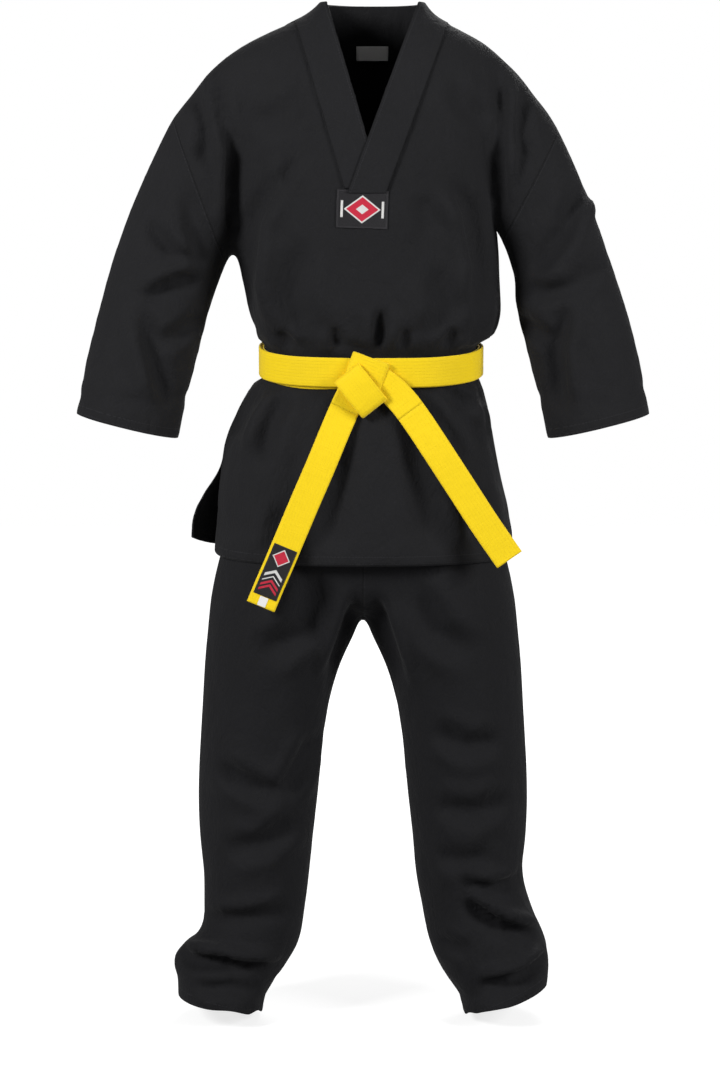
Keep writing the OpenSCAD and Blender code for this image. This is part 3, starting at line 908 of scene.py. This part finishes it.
coat_body = piece("jacket_body", skin, coat & ~open_vee, seams=coat_seams,
                  free=lambda a, b: a[2] > 1.18 and abs(a[0]) < 0.15)
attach(coat_body, "body")
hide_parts("jacket_front", "jacket_back")
for s in (1, -1):
    name = side_name(s)
    point, normal = ARM_PLANES[s]
    cuff = lambda co, s=s: hem_depth(-beyond(co, CUFF[s], CUFF_OUT[s]))
    upper = piece(f"{name}_sleeve_upper", skin, sleeve[s] & ~lower[s], seams=sleeve_seams(s))
    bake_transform(upper)
    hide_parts(f"{name}_sleeve_upper")
    fore = piece(f"{name}_sleeve_lower", skin, lower[s], thick=cuff, seams=sleeve_seams(s))
    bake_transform(fore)
    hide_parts(f"{name}_sleeve_lower", f"{name}_cuff_facing")

def vent_edge(a, b):
    return abs(a[1]) < 0.0007 and abs(b[1]) < 0.0007 and min(a[2], b[2]) < VENT_TOP - 0.001


def back_flare(co):
    """The back skirt's corner stands out beside the vent on the wearer's right."""
    w = np.exp(-np.maximum(co[:, 1], 0) / 0.05) * smooth(-co[:, 2], -0.79, -0.67) * (co[:, 0] < 0)
    return np.stack([-0.034 * w, -0.006 * w, 0.024 * w], 1)


def front_flare(co):
    w = np.exp(-np.maximum(-co[:, 1], 0) / 0.04) * smooth(-co[:, 2], -0.76, -0.66)
    return np.stack([np.sign(co[:, 0]) * 0.002 * w, -0.003 * w, 0.006 * w], 1)


for name, chosen, flare in (("front", front_skirt, front_flare), ("back", back_skirt, back_flare)):
    thick = lambda co: np.maximum(hem_depth(co[:, 2] - hem_lo),
                                  CLOTH_T + 0.001 * (1 - smooth(np.abs(co[:, 1]), 0.014, 0.018)))
    ob = piece(f"jacket_{name}_skirt", skin, chosen, thick=thick, free=vent_edge, bend=flare,
               seams=skirt_seams)
    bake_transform(ob)
    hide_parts(f"jacket_{name}_skirt", f"{name}_hem_facing")


# ---------------------------------------------------------------- neck bands and patch

def band_seams(side):
    def values(co):
        out = level_of(co, side) * math.cos(math.atan(LEFT_SLOPE if side > 0 else RIGHT_SLOPE))
        return np.stack([out, out - BAND * 0.94, np.full(len(co), FAR)], 1)
    return values


def back_band_seams(co):
    up = beyond(co, back_foot, back_edge)
    return np.stack([up, collar_top - co[:, 2], np.full(len(co), FAR)], 1)


def left_lift(co):
    return 0.0019 + 0.0014 * (1 - smooth(co[:, 2], 1.25, 1.35))


bands = [("collar_band_left", left_band, left_lift, band_seams(1)),
         ("collar_band_right", right_band, 0.0019, band_seams(-1)),
         ("collar_back", back_band, 0.0019, back_band_seams)]
for name, chosen, lift, seams in bands:
    ob = piece(name, skin, chosen, thick=0.0017, lift=lift, free=True, seams=seams)
    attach(ob, "body")
    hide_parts(name)
patch = piece("chest_patch", skin, patch_faces, thick=0.0012, lift=0.0014, free=True)
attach(patch, "body")
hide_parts("chest_patch")


def flat_uv(ob, origin, right, up):
    """UVs in metres from an origin, along right and up."""
    co = coords(ob.data) - np.array(origin)
    set_uv(ob, np.stack([co @ np.array(right), co @ np.array(up)], 1))


flat_uv(patch, PATCH, turn, rise)

lo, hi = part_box("neck_label")
label_y = 0.071
neck_label = strip("neck_label", [((lo.x + hi.x) / 2 + u, label_y - 0.9 * u * u, (lo.z + hi.z) / 2)
                                  for u in np.linspace(-0.022, 0.022, 12)],
                   [(0, -0.1, 1)] * 12, [(0, -1, 0)] * 12, 0.02, 0.0008)
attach(neck_label, "body")
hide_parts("neck_label")


# ---------------------------------------------------------------- trousers

c = legs.centre
seat_faces = c[:, 2] > SEAT_END
seat = piece("trousers_seat", legs, seat_faces, seams=trouser_seams)
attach(seat, "body")
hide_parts("trousers_front", "trousers_back", "crotch_gusset")
for s in (1, -1):
    name = side_name(s)
    mine = s * c[:, 0] > 0
    thigh = piece(f"{name}_thigh", legs, mine & ~seat_faces & (c[:, 2] > KNEE_CUT), seams=trouser_seams)
    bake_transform(thigh)
    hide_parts(f"{name}_thigh_front", f"{name}_thigh_back")
    cuff = lambda co, s=s: hem_depth(-beyond(co, LEG_END[s], LEG_OUT[s]))
    shin = piece(f"{name}_shin", legs, mine & (c[:, 2] < KNEE_CUT), thick=cuff, seams=trouser_seams)
    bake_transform(shin)
    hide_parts(f"{name}_shin_front", f"{name}_shin_back", f"{name}_leg_facing")


def squarer(v):
    return np.sign(v) * np.abs(v) ** 0.88


def gathered_ring(name, half_w, half_d, z, height, thick, ruffle):
    """Level band round the waist, its cloth bunched along its length."""
    t = np.linspace(0, 2 * math.pi, 289)
    wave = ruffle * (np.sin(46 * t) + 0.5 * np.sin(31 * t + 1) + 0.4 * np.sin(73 * t + 2))
    wave[-1] = wave[0]
    centre = np.stack([0.010 + (half_w + wave) * squarer(np.cos(t)), (half_d + wave) * squarer(np.sin(t)),
                       np.full(289, z)], 1)
    out = np.stack([np.cos(t) / half_w, np.sin(t) / half_d, np.zeros(289)], 1)
    return strip(name, centre, [(0, 0, 1)] * 289, out, height, thick)


lo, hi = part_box("waistband")
waistband = gathered_ring("waistband", 0.1292, 0.0852, (lo.z + hi.z) / 2 + 0.001, hi.z - lo.z, 0.0042, 0.0005)
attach(waistband, "body")
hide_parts("waistband", "waist_elastic")

CORD_R = 0.0015
CORD_SIDES = 12


def cord(name, paths):
    """Round cords along centre lines. UVs are metres along and turns round."""
    verts, uv, faces = [], [], []
    t = np.arange(CORD_SIDES) * 2 * math.pi / CORD_SIDES
    for path in paths:
        path = np.array(path, float)
        tangent = np.gradient(path, axis=0)
        length = np.concatenate([[0], np.cumsum(np.linalg.norm(np.diff(path, axis=0), axis=1))])
        base = sum(len(v) for v in verts)
        side = Vector((0, 0.3, 1))
        for k, point in enumerate(path):
            forward = Vector(tangent[k]).normalized()
            side = (side - side.dot(forward) * forward).normalized()
            other = np.array(forward.cross(side))
            verts.append(point + CORD_R * (np.outer(np.cos(t), side) + np.outer(np.sin(t), other)))
            uv.append(np.stack([np.full(CORD_SIDES, length[k]), t / (2 * math.pi)], 1))
        for i in range(len(path) - 1):
            for k in range(CORD_SIDES):
                a, b = base + i * CORD_SIDES + k, base + i * CORD_SIDES + (k + 1) % CORD_SIDES
                faces.append((a, b, b + CORD_SIDES, a + CORD_SIDES))
        faces.append(tuple(range(base + CORD_SIDES - 1, base - 1, -1)))
        last = base + (len(path) - 1) * CORD_SIDES
        faces.append(tuple(range(last, last + CORD_SIDES)))
    ob = new_object(name + CLOTH, np.concatenate(verts), faces)
    set_uv(ob, np.concatenate(uv))
    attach(ob, "body")
    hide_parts(name)
    return ob


def knotted_end(x, y, z):
    """From an eyelet at (x, y, z) out and down, to an overhand knot and a short free end."""
    drop = [(0, 4, 0), (0, 1, 0), (0, -2, -0.2), (0, -3.9, -2), (0, -4.4, -6), (0.3, -4.2, -12),
            (0, -4.1, -18)]
    knot = [(0, -4.1, -20), (1.8, -5.2, -22.4), (0.4, -6.6, -24.6), (-1.9, -5.2, -23.6), (-0.8, -3.4, -21.6),
            (1.7, -3.4, -23), (1.2, -5.4, -25), (0, -4.6, -27), (0.2, -4.4, -30)]
    rows = spline([[u * MM, v * MM, w * MM] for u, v, w in drop + knot], 0.0006)
    return rows + np.array([x, y, z])


t = np.linspace(0, 2 * math.pi, 289)
lo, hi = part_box("drawstring")
ring = np.stack([(lo.x + hi.x) / 2 + ((hi.x - lo.x) / 2 - CORD_R) * squarer(np.cos(t)),
                 ((hi.y - lo.y) / 2 - CORD_R) * squarer(np.sin(t)), np.full(289, (lo.z + hi.z) / 2)], 1)
lo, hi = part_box("drawstring_eyelets")
eyelet_r = (hi.z - lo.z) / 2
cords = [cord("drawstring", [ring]),
         cord("drawstring_ends", [knotted_end(x, (lo.y + hi.y) / 2, (lo.z + hi.z) / 2)
                                  for x in (lo.x + eyelet_r, hi.x - eyelet_r)])]


# ---------------------------------------------------------------- belt

def belt_point(t, lift, rise=0.0):
    """Point lift outside the waist at angle t, in the belt's tilted plane."""
    x = (0.145 + lift) * squarer(np.cos(t))
    d = (0.102 + lift) * squarer(np.sin(t))
    cp, sp = math.cos(BELT_PITCH), math.sin(BELT_PITCH)
    return np.stack([BELT_X + x, d * cp - rise * sp, BELT_Z + d * sp + rise * cp], 1)


def belt_turn(name, lift, rise):
    t = np.linspace(-math.pi / 2, 1.5 * math.pi, 241)
    ripple = 0.0004 * np.sin(5 * t) + 0.0003 * np.sin(11 * t + 1)
    centre = belt_point(t, lift + ripple, rise(t) + 0.0005 * np.sin(4 * t + 2))
    tangent = np.gradient(centre, axis=0)
    tangent[0] = tangent[-1] = tangent[0] + tangent[-1]
    up = np.array([0, -math.sin(BELT_PITCH), math.cos(BELT_PITCH)])
    out = np.cross(tangent, up)
    ob = strip(name, centre, [up] * len(t), out, BELT_W, BELT_T)
    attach(ob, "body")
    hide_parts(name)
    return ob


slip = lambda t: -0.0015 - 0.003 * hump(t, -math.pi / 2 + 2 * math.pi - 0.55, 0.4)
belt_parts = [belt_turn("belt_inner_turn", 0.0028, slip),
              belt_turn("belt_outer_turn", 0.0074, lambda t: 0 * t)]


def knot_strip(name, along, across, centre, path, width, thick, step=0.0015):
    """Short band that rolls over at its ends. path is (distance along, distance forward)."""
    along, across, centre = (np.array(v, float) for v in (along, across, centre))
    along /= np.linalg.norm(along)
    across /= np.linalg.norm(across)
    forward = np.array([0, -1.0, 0])
    rows = spline([[a * MM, 0, f * MM] for a, f in path], step)
    points = centre + np.outer(rows[:, 0], along) + np.outer(rows[:, 2], forward)
    tangent = np.gradient(points, axis=0)
    out = np.cross(across, tangent)
    if out[len(out) // 2] @ forward < 0:
        out = -out
    return strip(name, points, [across] * len(points), out, width, thick)


FLAP = [(14, -5.5), (22, -5.6), (27.2, -3.6), (29, 0), (27.2, 3.6), (21, 5.4), (10, 6.6), (0, 7),
        (-10, 6.6), (-21, 5.2), (-27.4, 3.2), (-29.2, -0.2), (-27.4, -3.8), (-20, -5.6), (-12, -5.5)]
SECOND = [(12, -3), (19, -2.9), (23.4, -1.6), (24.6, 0.4), (22.8, 2.2), (15, 3.4), (0, 3.8),
          (-14, 3.2), (-21.5, 2), (-24.4, -0.2), (-23, -2.2), (-18, -3), (-10, -3)]
flap = knot_strip("belt_knot_flap", (0.62, 0, -0.785), (0.785, 0, 0.62), (-0.0028, -0.1192, 0.8868), FLAP,
                  0.0425, 0.0042)
second = knot_strip("belt_knot_back", (0.94, 0, -0.34), (0.34, 0, 0.94), (0.0045, -0.1142, 0.9115), SECOND,
                    0.041, 0.0034)
for ob in (flap, second):
    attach(ob, "body")
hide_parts("belt_knot")
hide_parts("belt_keeper_loop")


def tail(rows):
    """Centre line of a tail from (x, z, y) rows in mm, with its across and out directions."""
    line = spline([[x * MM, y * MM, z * MM] for x, z, y in rows], 0.004)
    tangent = np.gradient(line, axis=0)
    out = np.tile([0, -1.0, 0], (len(line), 1))
    across = np.cross(out, tangent)
    return line, across, np.cross(tangent, across)


# Rows are (x, z, y) from the knot to the tip
RIGHT_TAIL = [(-13, 886, -113.2), (-20, 872, -113.8), (-30, 850, -117), (-42, 822, -124.5),
              (-57, 786, -130.5), (-80, 733, -135), (-110, 662, -138.5), (-124, 630, -139.5),
              (-137, 599, -140)]
LEFT_TAIL = [(12, 905, -112.6), (24, 898, -113.4), (40, 886, -114.6), (57, 868, -117.5), (76, 842, -122.5),
             (100, 806, -129), (132, 757, -133.5), (164, 708, -136.5), (196, 662, -138.5)]
LET_GO = 0.860               # above this the knot holds the tails
tails = {}
for side, rows in ((1, LEFT_TAIL), (-1, RIGHT_TAIL)):
    name = side_name(side)
    line, across, out = tail(rows)
    if side < 0:
        across = -across
    split = int(np.argmin(np.abs(line[:, 2] - LET_GO)))
    wave = 0.0006 * np.sin(np.arange(len(line)) * 0.35 + side) * smooth(line[:, 2], 0.9, 0.8)
    line = line + wave[:, None] * out
    root = strip(f"{name}_tail_root", line[:split + 1], across[:split + 1], out[:split + 1], BELT_W, BELT_T)
    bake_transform(root)
    hang = strip(f"{name}_tail", line[split:], across[split:], out[split:], BELT_W, BELT_T)
    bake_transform(hang)
    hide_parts(f"{name}_tail_cover", f"{name}_tail_core")
    belt_parts += [root, hang]
    tails[side] = (line, across, out)
belt_parts += [flap, second]

line, across, out = tails[-1]
from_tip = np.concatenate([np.cumsum(np.linalg.norm(np.diff(line[::-1], axis=0), axis=1))[::-1], [0]])


def on_tail(name, low, high, width, thick, lift):
    """Flat piece on the tail's outer face, between two distances from its tip."""
    at = np.linspace(low, high, 25)
    pick = lambda rows: np.stack([np.interp(at, from_tip[::-1], rows[::-1, k]) for k in range(3)], 1)
    normal = pick(out)
    normal /= np.linalg.norm(normal, axis=1)[:, None]
    centre = pick(line) + normal * (BELT_T / 2 + lift)
    ob = strip(name, centre, pick(across), normal, width, thick)
    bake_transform(ob)
    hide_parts(name)
    return ob


label = on_tail("belt_label", 0.0145, 0.0865, 0.033, 0.0009, 0.0003)
tape = on_tail("belt_rank_tape", 0.0008, 0.0138, 0.0115, 0.0006, 0.0002)


# ---------------------------------------------------------------- materials

class Nodes:
    """Short ways to wire shader nodes."""

    def __init__(self, name, roughness=0.8, specular=0.3, sheen=0.0, sheen_rough=0.4):
        self.mat = bpy.data.materials.new(name)
        self.mat.use_nodes = True
        self.tree = self.mat.node_tree
        self.shader = self.tree.nodes["Principled BSDF"]
        self.shader.inputs["Roughness"].default_value = roughness
        self.shader.inputs["Specular IOR Level"].default_value = specular
        self.shader.inputs["Sheen Weight"].default_value = sheen
        self.shader.inputs["Sheen Roughness"].default_value = sheen_rough

    def node(self, kind, inputs=(), **settings):
        """A new node, with its inputs set or linked by (name, value)."""
        n = self.tree.nodes.new(kind)
        for key, value in settings.items():
            setattr(n, key, value)
        for key, value in inputs:
            self.put(n.inputs[key], value)
        return n

    def coord(self, kind):
        return self.node("ShaderNodeTexCoord").outputs[kind]

    def put(self, socket, value):
        if isinstance(value, (int, float)):
            socket.default_value = value
        elif isinstance(value, tuple):
            socket.default_value = (*value, 1) if len(socket.default_value) == 4 else value
        else:
            self.tree.links.new(value, socket)

    def math(self, operation, a, b=0.0):
        return self.node("ShaderNodeMath", ((0, a), (1, b)), operation=operation).outputs[0]

    def add(self, a, b):
        return self.math("ADD", a, b)

    def sub(self, a, b):
        return self.math("SUBTRACT", a, b)

    def mul(self, a, b):
        return self.math("MULTIPLY", a, b)

    def most(self, a, b):
        return self.math("MAXIMUM", a, b)

    def abs(self, a):
        return self.math("ABSOLUTE", a)

    def sin(self, a):
        return self.math("SINE", a)

    def ease(self, value, low, high, start=0.0, end=1.0):
        return self.node("ShaderNodeMapRange", (("Value", value), ("From Min", low), ("From Max", high),
                                                ("To Min", start), ("To Max", end)),
                         interpolation_type="SMOOTHSTEP").outputs[0]

    def line(self, value, half, soft=0.3):
        """1 where value is within half of zero, fading out over a share of it."""
        return self.ease(self.abs(value), half * (1 - soft), half * (1 + soft), 1.0, 0.0)

    def dashes(self, value, pitch, share=0.7):
        """1 on stitches along value, 0 in the gaps between them."""
        gap = pitch / 2 * (1 - share)
        return self.ease(self.math("PINGPONG", value, pitch / 2), gap * 0.6, gap * 1.4)

    def noise(self, vector, scale, detail=3.0, rough=0.55, distortion=0.0):
        return self.node("ShaderNodeTexNoise", (("Vector", vector), ("Scale", scale), ("Detail", detail),
                                                ("Roughness", rough), ("Distortion", distortion))).outputs[0]

    def stretched(self, vector, scale):
        return self.node("ShaderNodeMapping", (("Vector", vector), ("Scale", scale))).outputs[0]

    def split(self, vector):
        return self.node("ShaderNodeSeparateXYZ", ((0, vector),)).outputs

    def mix(self, share, a, b):
        return self.node("ShaderNodeMix", (("Factor", share), (6, a), (7, b)), data_type="RGBA").outputs[2]

    def bump(self, height, strength, distance, below=None):
        inputs = [("Strength", strength), ("Distance", distance), ("Height", height)]
        if below is not None:
            inputs.append(("Normal", below))
        return self.node("ShaderNodeBump", inputs).outputs[0]

    def finish(self, colour, bump=None, roughness=None):
        self.put(self.shader.inputs["Base Color"], colour)
        if roughness is not None:
            self.put(self.shader.inputs["Roughness"], roughness)
        if bump is not None:
            self.tree.links.new(bump, self.shader.inputs["Normal"])
        return self.mat


HEM_STITCH, THREAD, STITCH = 0.012, 0.0005, 0.0042    # row above the hem, half a thread, stitch length


def times(tone, share):
    return tuple(share * v for v in tone)


def black_cloth(name, tone, offset=0.0025, side_stitch=None):
    """Black cotton twill with its seams, stitch rows and small creases.

    The stitch row runs offset metres from the seam; side_stitch is the vents' row from their edge."""
    m = Nodes(name, roughness=0.8, specular=0.2, sheen=0.03, sheen_rough=0.4)
    place = m.coord("Object")
    x, y, z = m.split(place)
    sx, sy, sz = m.split(m.node("ShaderNodeAttribute", attribute_name="seams").outputs["Vector"])
    # twill: fine slanting ribs
    slant = m.add(m.add(x, y), m.mul(z, 1.6))
    ribs = m.sin(m.mul(slant, 5200.0))
    nap = m.noise(place, 2600.0, 2.0)
    weave = m.bump(m.add(m.mul(ribs, 0.5), nap), 0.35, 0.00018)
    # creases: broad soft ones and sharper short ones
    soft = m.noise(m.stretched(place, (1.0, 1.0, 0.62)), 21.0, 3.0, 0.5, 0.9)
    sharp = m.noise(m.stretched(place, (1.2, 1.2, 0.8)), 64.0, 4.0, 0.55, 1.6)
    ridge = m.sub(1.0, m.mul(m.abs(m.sub(sharp, 0.5)), 5.0))
    creases = m.add(soft, m.mul(m.most(ridge, 0.0), 0.09))
    crease_bump = m.bump(creases, 0.75, 0.0065, weave)
    # seams with a stitch row beside them, and the hem's row
    groove = m.most(m.line(sx, 0.0008), m.line(sy, 0.0008) if side_stitch is None else 0.0)
    from_hem = m.sub(sz, HEM_STITCH)
    pucker = m.mul(m.noise(place, 260.0, 1.0), m.most(m.line(sx, 0.006, 0.8), m.line(from_hem, 0.009, 0.8)))
    rows = m.most(m.line(m.sub(sx, offset), THREAD), m.line(from_hem, THREAD))
    rows = m.most(rows, m.line(m.sub(sz, 0.0025), 0.0004))
    if side_stitch:
        rows = m.most(rows, m.line(m.sub(m.abs(sy), side_stitch), THREAD))
    thread = m.mul(rows, m.dashes(m.add(m.add(x, y), z), STITCH))
    height = m.sub(m.add(m.mul(pucker, 0.8), m.mul(thread, 0.7)), m.add(groove, m.mul(rows, 0.5)))
    seam_bump = m.bump(height, 1.0, 0.0009, crease_bump)
    # worn a little paler and darker in broad random patches, with a fleck of lint
    fade = m.noise(place, 9.0, 4.0, 0.6)
    lint = m.math("GREATER_THAN", m.noise(place, 900.0, 0.0), 0.76)
    base = m.mix(fade, times(tone, 0.82), times(tone, 1.22))
    base = m.mix(m.mul(lint, 0.35), base, times(tone, 3.0))
    # painted shade: the colour is darkened along the seam grooves, where shade falls in the recess
    base = m.mix(m.mul(groove, 0.6), base, times(tone, 0.4))
    base = m.mix(m.mul(thread, 0.8), base, times(tone, 2.3))
    return m.finish(base, seam_bump, m.add(0.78, m.mul(nap, 0.14)))


def belt_cloth():
    """Yellow cotton belt, stitched in rows along its length, its cover rippled across."""
    m = Nodes("belt_cotton", roughness=0.7, specular=0.25, sheen=0.15)
    uv = m.coord("UV")
    u, v, _ = m.split(uv)
    groove = m.line(m.math("PINGPONG", m.add(v, 0.1), 0.0022), THREAD, 0.6)
    thread = m.mul(groove, m.dashes(u, 0.0034))
    ripple = m.noise(m.stretched(uv, (330.0, 42.0, 1.0)), 1.0, 2.0, 0.5, 0.4)
    slow = m.noise(m.stretched(uv, (46.0, 18.0, 1.0)), 1.0, 2.0, 0.5, 0.6)
    fine = m.bump(m.mul(m.sin(m.mul(u, 9000.0)), m.sin(m.mul(v, 9000.0))), 0.25, 0.00012)
    rippled = m.bump(m.add(m.mul(ripple, 0.55), slow), 0.6, 0.0016, fine)
    stitched = m.bump(m.sub(m.mul(thread, 0.6), groove), 0.5, 0.0005, rippled)
    tone = (0.93, 0.66, 0.004)
    base = m.mix(m.noise(m.coord("Object"), 38.0), times(tone, 0.93), tone)
    # painted shade: the colour is darkened in the stitched grooves, where shade falls
    base = m.mix(m.mul(groove, 0.16), base, (0.72, 0.42, 0.002))
    base = m.mix(m.mul(thread, 0.2), base, (1.0, 0.78, 0.03))
    # painted shade: a darker line where the belt's face rolls over into its rounded edge
    edge = m.line(m.sub(m.abs(v), 0.0185), 0.0006)
    base = m.mix(m.mul(edge, 0.18), base, (0.6, 0.36, 0.002))
    return m.finish(base, stitched)


def shape(m, u, v, kind, cu, cv, hu, hv):
    """1 inside a bar, diamond or chevron (pointing along +u) with its centre at (cu, cv)."""
    du, dv = m.sub(u, cu), m.sub(v, cv)
    if kind == "diamond":
        reach = m.add(m.math("DIVIDE", m.abs(du), hu), m.math("DIVIDE", m.abs(dv), hv))
        return m.line(reach, 1.0, 0.03)
    if kind == "chevron":
        du = m.add(du, m.mul(m.abs(dv), 0.7))
    return m.mul(m.line(du, hu, 0.08), m.line(dv, hv, 0.05))


def badge(name, shapes, border, half_u, half_v, middle):
    """Black woven badge with plain embroidered shapes: (colour, kind, centre u, centre v, half u, half v)."""
    m = Nodes(name, roughness=0.6, specular=0.3, sheen=0.05)
    u, v, _ = m.split(m.coord("UV"))
    satin = m.sin(m.mul(m.add(u, v), 6500.0))
    cloth = m.mul(m.sin(m.mul(u, 5200.0)), m.sin(m.mul(v, 5200.0)))
    base = m.mix(m.mul(m.add(cloth, 1.0), 0.5), (0.007, 0.0065, 0.008), (0.016, 0.015, 0.018))
    edge_u = m.sub(m.abs(m.sub(u, middle)), half_u - border)
    edge_v = m.sub(m.abs(v), half_v - border)
    raised = edge = m.most(m.line(edge_u, border, 0.15), m.line(edge_v, border, 0.15))
    # painted sheen: the border's paler satin is mixed in more and less in stripes along its stitches
    base = m.mix(m.mul(edge, m.add(m.mul(satin, 0.2), 0.5)), base, (0.03, 0.028, 0.032))
    for colour, *place in shapes:
        here = shape(m, u, v, *place)
        base = m.mix(here, base, colour)
        raised = m.most(raised, here)
    # painted shade: every colour is darkened in stripes along the satin stitches
    shade = m.add(0.9, m.mul(satin, 0.1))
    height = m.add(m.mul(raised, 1.4), m.add(m.mul(satin, 0.25), m.mul(cloth, 0.12)))
    return m.finish(m.mix(shade, (0.0, 0.0, 0.0), base), m.bump(height, 0.8, 0.0004))


def cord_cloth():
    """White braided cord: two sets of strands crossing as they wind round it."""
    m = Nodes("white_cord", roughness=0.7, specular=0.3, sheen=0.2)
    u, v, _ = m.split(m.coord("UV"))
    wind, turn_round = m.mul(u, 2100.0), m.mul(v, 12.566)
    braid = m.most(m.sin(m.add(wind, turn_round)), m.sin(m.sub(wind, turn_round)))
    # painted shade: the white is darkened between the strands, in the braid's grooves
    base = m.mix(m.add(0.5, m.mul(braid, 0.5)), (0.5, 0.49, 0.46), (0.83, 0.82, 0.79))
    return m.finish(base, m.bump(braid, 0.7, 0.0003))


def brass():
    """Pressed brass, dulled and finely scratched."""
    m = Nodes("eyelet_brass", roughness=0.3, specular=0.5)
    m.shader.inputs["Metallic"].default_value = 1.0
    place = m.coord("Object")
    scratches = m.noise(m.stretched(place, (400.0, 60.0, 3000.0)), 1.0, 3.0)
    dulled = m.noise(place, 300.0, 3.0)
    base = m.mix(dulled, (0.5, 0.36, 0.15), (0.78, 0.6, 0.32))
    return m.finish(base, m.bump(scratches, 0.2, 0.0001), m.add(0.22, m.mul(dulled, 0.25)))


def white_tape():
    """White ribbon, ribbed across."""
    m = Nodes("white_ribbon", roughness=0.6, specular=0.3, sheen=0.1)
    u, v, _ = m.split(m.coord("UV"))
    ribs = m.sin(m.mul(u, 7000.0))
    # painted shade: the white is darkened in the valleys between the ribs
    base = m.mix(m.mul(m.add(ribs, 1.0), 0.5), (0.78, 0.77, 0.75), (0.88, 0.87, 0.86))
    return m.finish(base, m.bump(ribs, 0.4, 0.0002))


RED, WHITE = (0.62, 0.018, 0.05), (0.78, 0.77, 0.75)
PATCH_SHAPES = [(WHITE, "diamond", 0.0, 0.0, 0.0245, 0.0185), (RED, "diamond", 0.0, 0.0, 0.0215, 0.0162),
                (WHITE, "diamond", 0.0, 0.0, 0.0085, 0.0064), (WHITE, "bar", -0.0272, 0.0, 0.0016, 0.011),
                (WHITE, "bar", 0.0272, 0.0, 0.0016, 0.011)]
LABEL_SHAPES = [(WHITE, "diamond", 0.056, 0.0, 0.0125, 0.0125), (RED, "diamond", 0.056, 0.0, 0.0105, 0.0105),
                (WHITE, "chevron", 0.037, 0.0, 0.0022, 0.0125),
                (WHITE, "chevron", 0.0295, 0.0, 0.0009, 0.0125),
                (RED, "chevron", 0.023, 0.0, 0.0018, 0.0125), (RED, "chevron", 0.0165, 0.0, 0.0018, 0.0125)]

jacket_mat = black_cloth("black_twill", (0.0098, 0.0098, 0.011))
skirt_mat = black_cloth("black_twill_skirt", (0.0098, 0.0098, 0.011), side_stitch=0.009)
trouser_mat = black_cloth("black_twill_trousers", (0.0078, 0.0078, 0.009))
band_mat = black_cloth("black_twill_band", (0.0105, 0.0105, 0.0118), offset=0.004)
belt_mat = belt_cloth()
patch_mat = badge("chest_badge", PATCH_SHAPES, 0.0012, PATCH_W / 2, PATCH_H / 2, 0.0)
label_mat = badge("belt_badge", LABEL_SHAPES, 0.0008, 0.036, 0.0165, 0.036)
cord_mat = cord_cloth()
eyelet_mat = brass()
tape_mat = white_tape()


def dress(ob, mat):
    ob.data.materials.clear()
    ob.data.materials.append(mat)


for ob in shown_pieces():
    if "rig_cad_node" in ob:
        if ob.name == "drawstring_eyelets":
            ob.material_slots[0].material = eyelet_mat
        continue
    name = ob.name.removesuffix(CLOTH)
    if ob in cords:
        dress(ob, cord_mat)
    elif ob in belt_parts:
        dress(ob, belt_mat)
    elif name == "chest_patch":
        dress(ob, patch_mat)
    elif name == "belt_label":
        dress(ob, label_mat)
    elif name in ("belt_rank_tape", "neck_label"):
        dress(ob, tape_mat)
    elif name.startswith("collar"):
        dress(ob, band_mat)
    elif "skirt" in name:
        dress(ob, skirt_mat)
    elif "jacket" in name or "sleeve" in name:
        dress(ob, jacket_mat)
    else:
        dress(ob, trouser_mat)

# ---------------------------------------------------------------- stage

floor = new_object("floor", [(-6, -6, 0), (6, -6, 0), (6, 6, 0), (-6, 6, 0)], [(0, 1, 2, 3)], False)
# The floor glows more with distance, so that it fades into the white behind
m = Nodes("floor", roughness=0.7, specular=0.1)
seen = m.node("ShaderNodeLightPath").outputs["Is Camera Ray"]
x, y, _ = m.split(m.coord("Object"))
away = m.math("SQRT", m.add(m.math("POWER", x, 2.0), m.math("POWER", y, 2.0)))
glow = m.add(0.74, m.mul(m.math("MINIMUM", away, 2.0), 0.15))
m.put(m.shader.inputs["Emission Color"], (1.0, 1.0, 1.0))
m.put(m.shader.inputs["Emission Strength"], m.mul(seen, glow))
floor.data.materials.append(m.finish((0.4, 0.4, 0.4)))
world = bpy.data.worlds.new("world")
bpy.context.scene.world = world
world.use_nodes = True
sky = world.node_tree
background = sky.nodes["Background"]
background.inputs[0].default_value = (1, 1, 1, 1)
brightness = sky.nodes.new("ShaderNodeMapRange")
brightness.inputs["To Min"].default_value = 0.14
brightness.inputs["To Max"].default_value = 1.0
sky.links.new(sky.nodes.new("ShaderNodeLightPath").outputs["Is Camera Ray"], brightness.inputs["Value"])
sky.links.new(brightness.outputs[0], background.inputs[1])


def area(name, place, size, power):
    light = bpy.data.lights.new(name, "AREA")
    light.energy = power
    light.size = size
    ob = bpy.data.objects.new(name, light)
    bpy.context.scene.collection.objects.link(ob)
    ob.location = place
    ob.rotation_euler = (Vector((0, 0, 0.8)) - Vector(place)).to_track_quat("-Z", "Y").to_euler()
    return ob


area("key", (-2.7, -2.2, 2.4), 1.0, 125)
area("fill", (2.9, -1.9, 2.0), 1.2, 92)
area("rim", (0.6, 2.6, 2.8), 1.5, 60)

cam_data = bpy.data.cameras.new("camera")
cam_data.lens = 97
cam_data.sensor_width = 36
cam = bpy.data.objects.new("camera", cam_data)
bpy.context.scene.collection.objects.link(cam)
cam.location = (-0.004, -4.0, 1.15)
aim = Vector((-0.004, 0, 0.672))
cam.rotation_euler = (aim - cam.location).to_track_quat("-Z", "Y").to_euler()
bpy.context.scene.camera = cam
bpy.context.scene.view_settings.view_transform = "Standard"
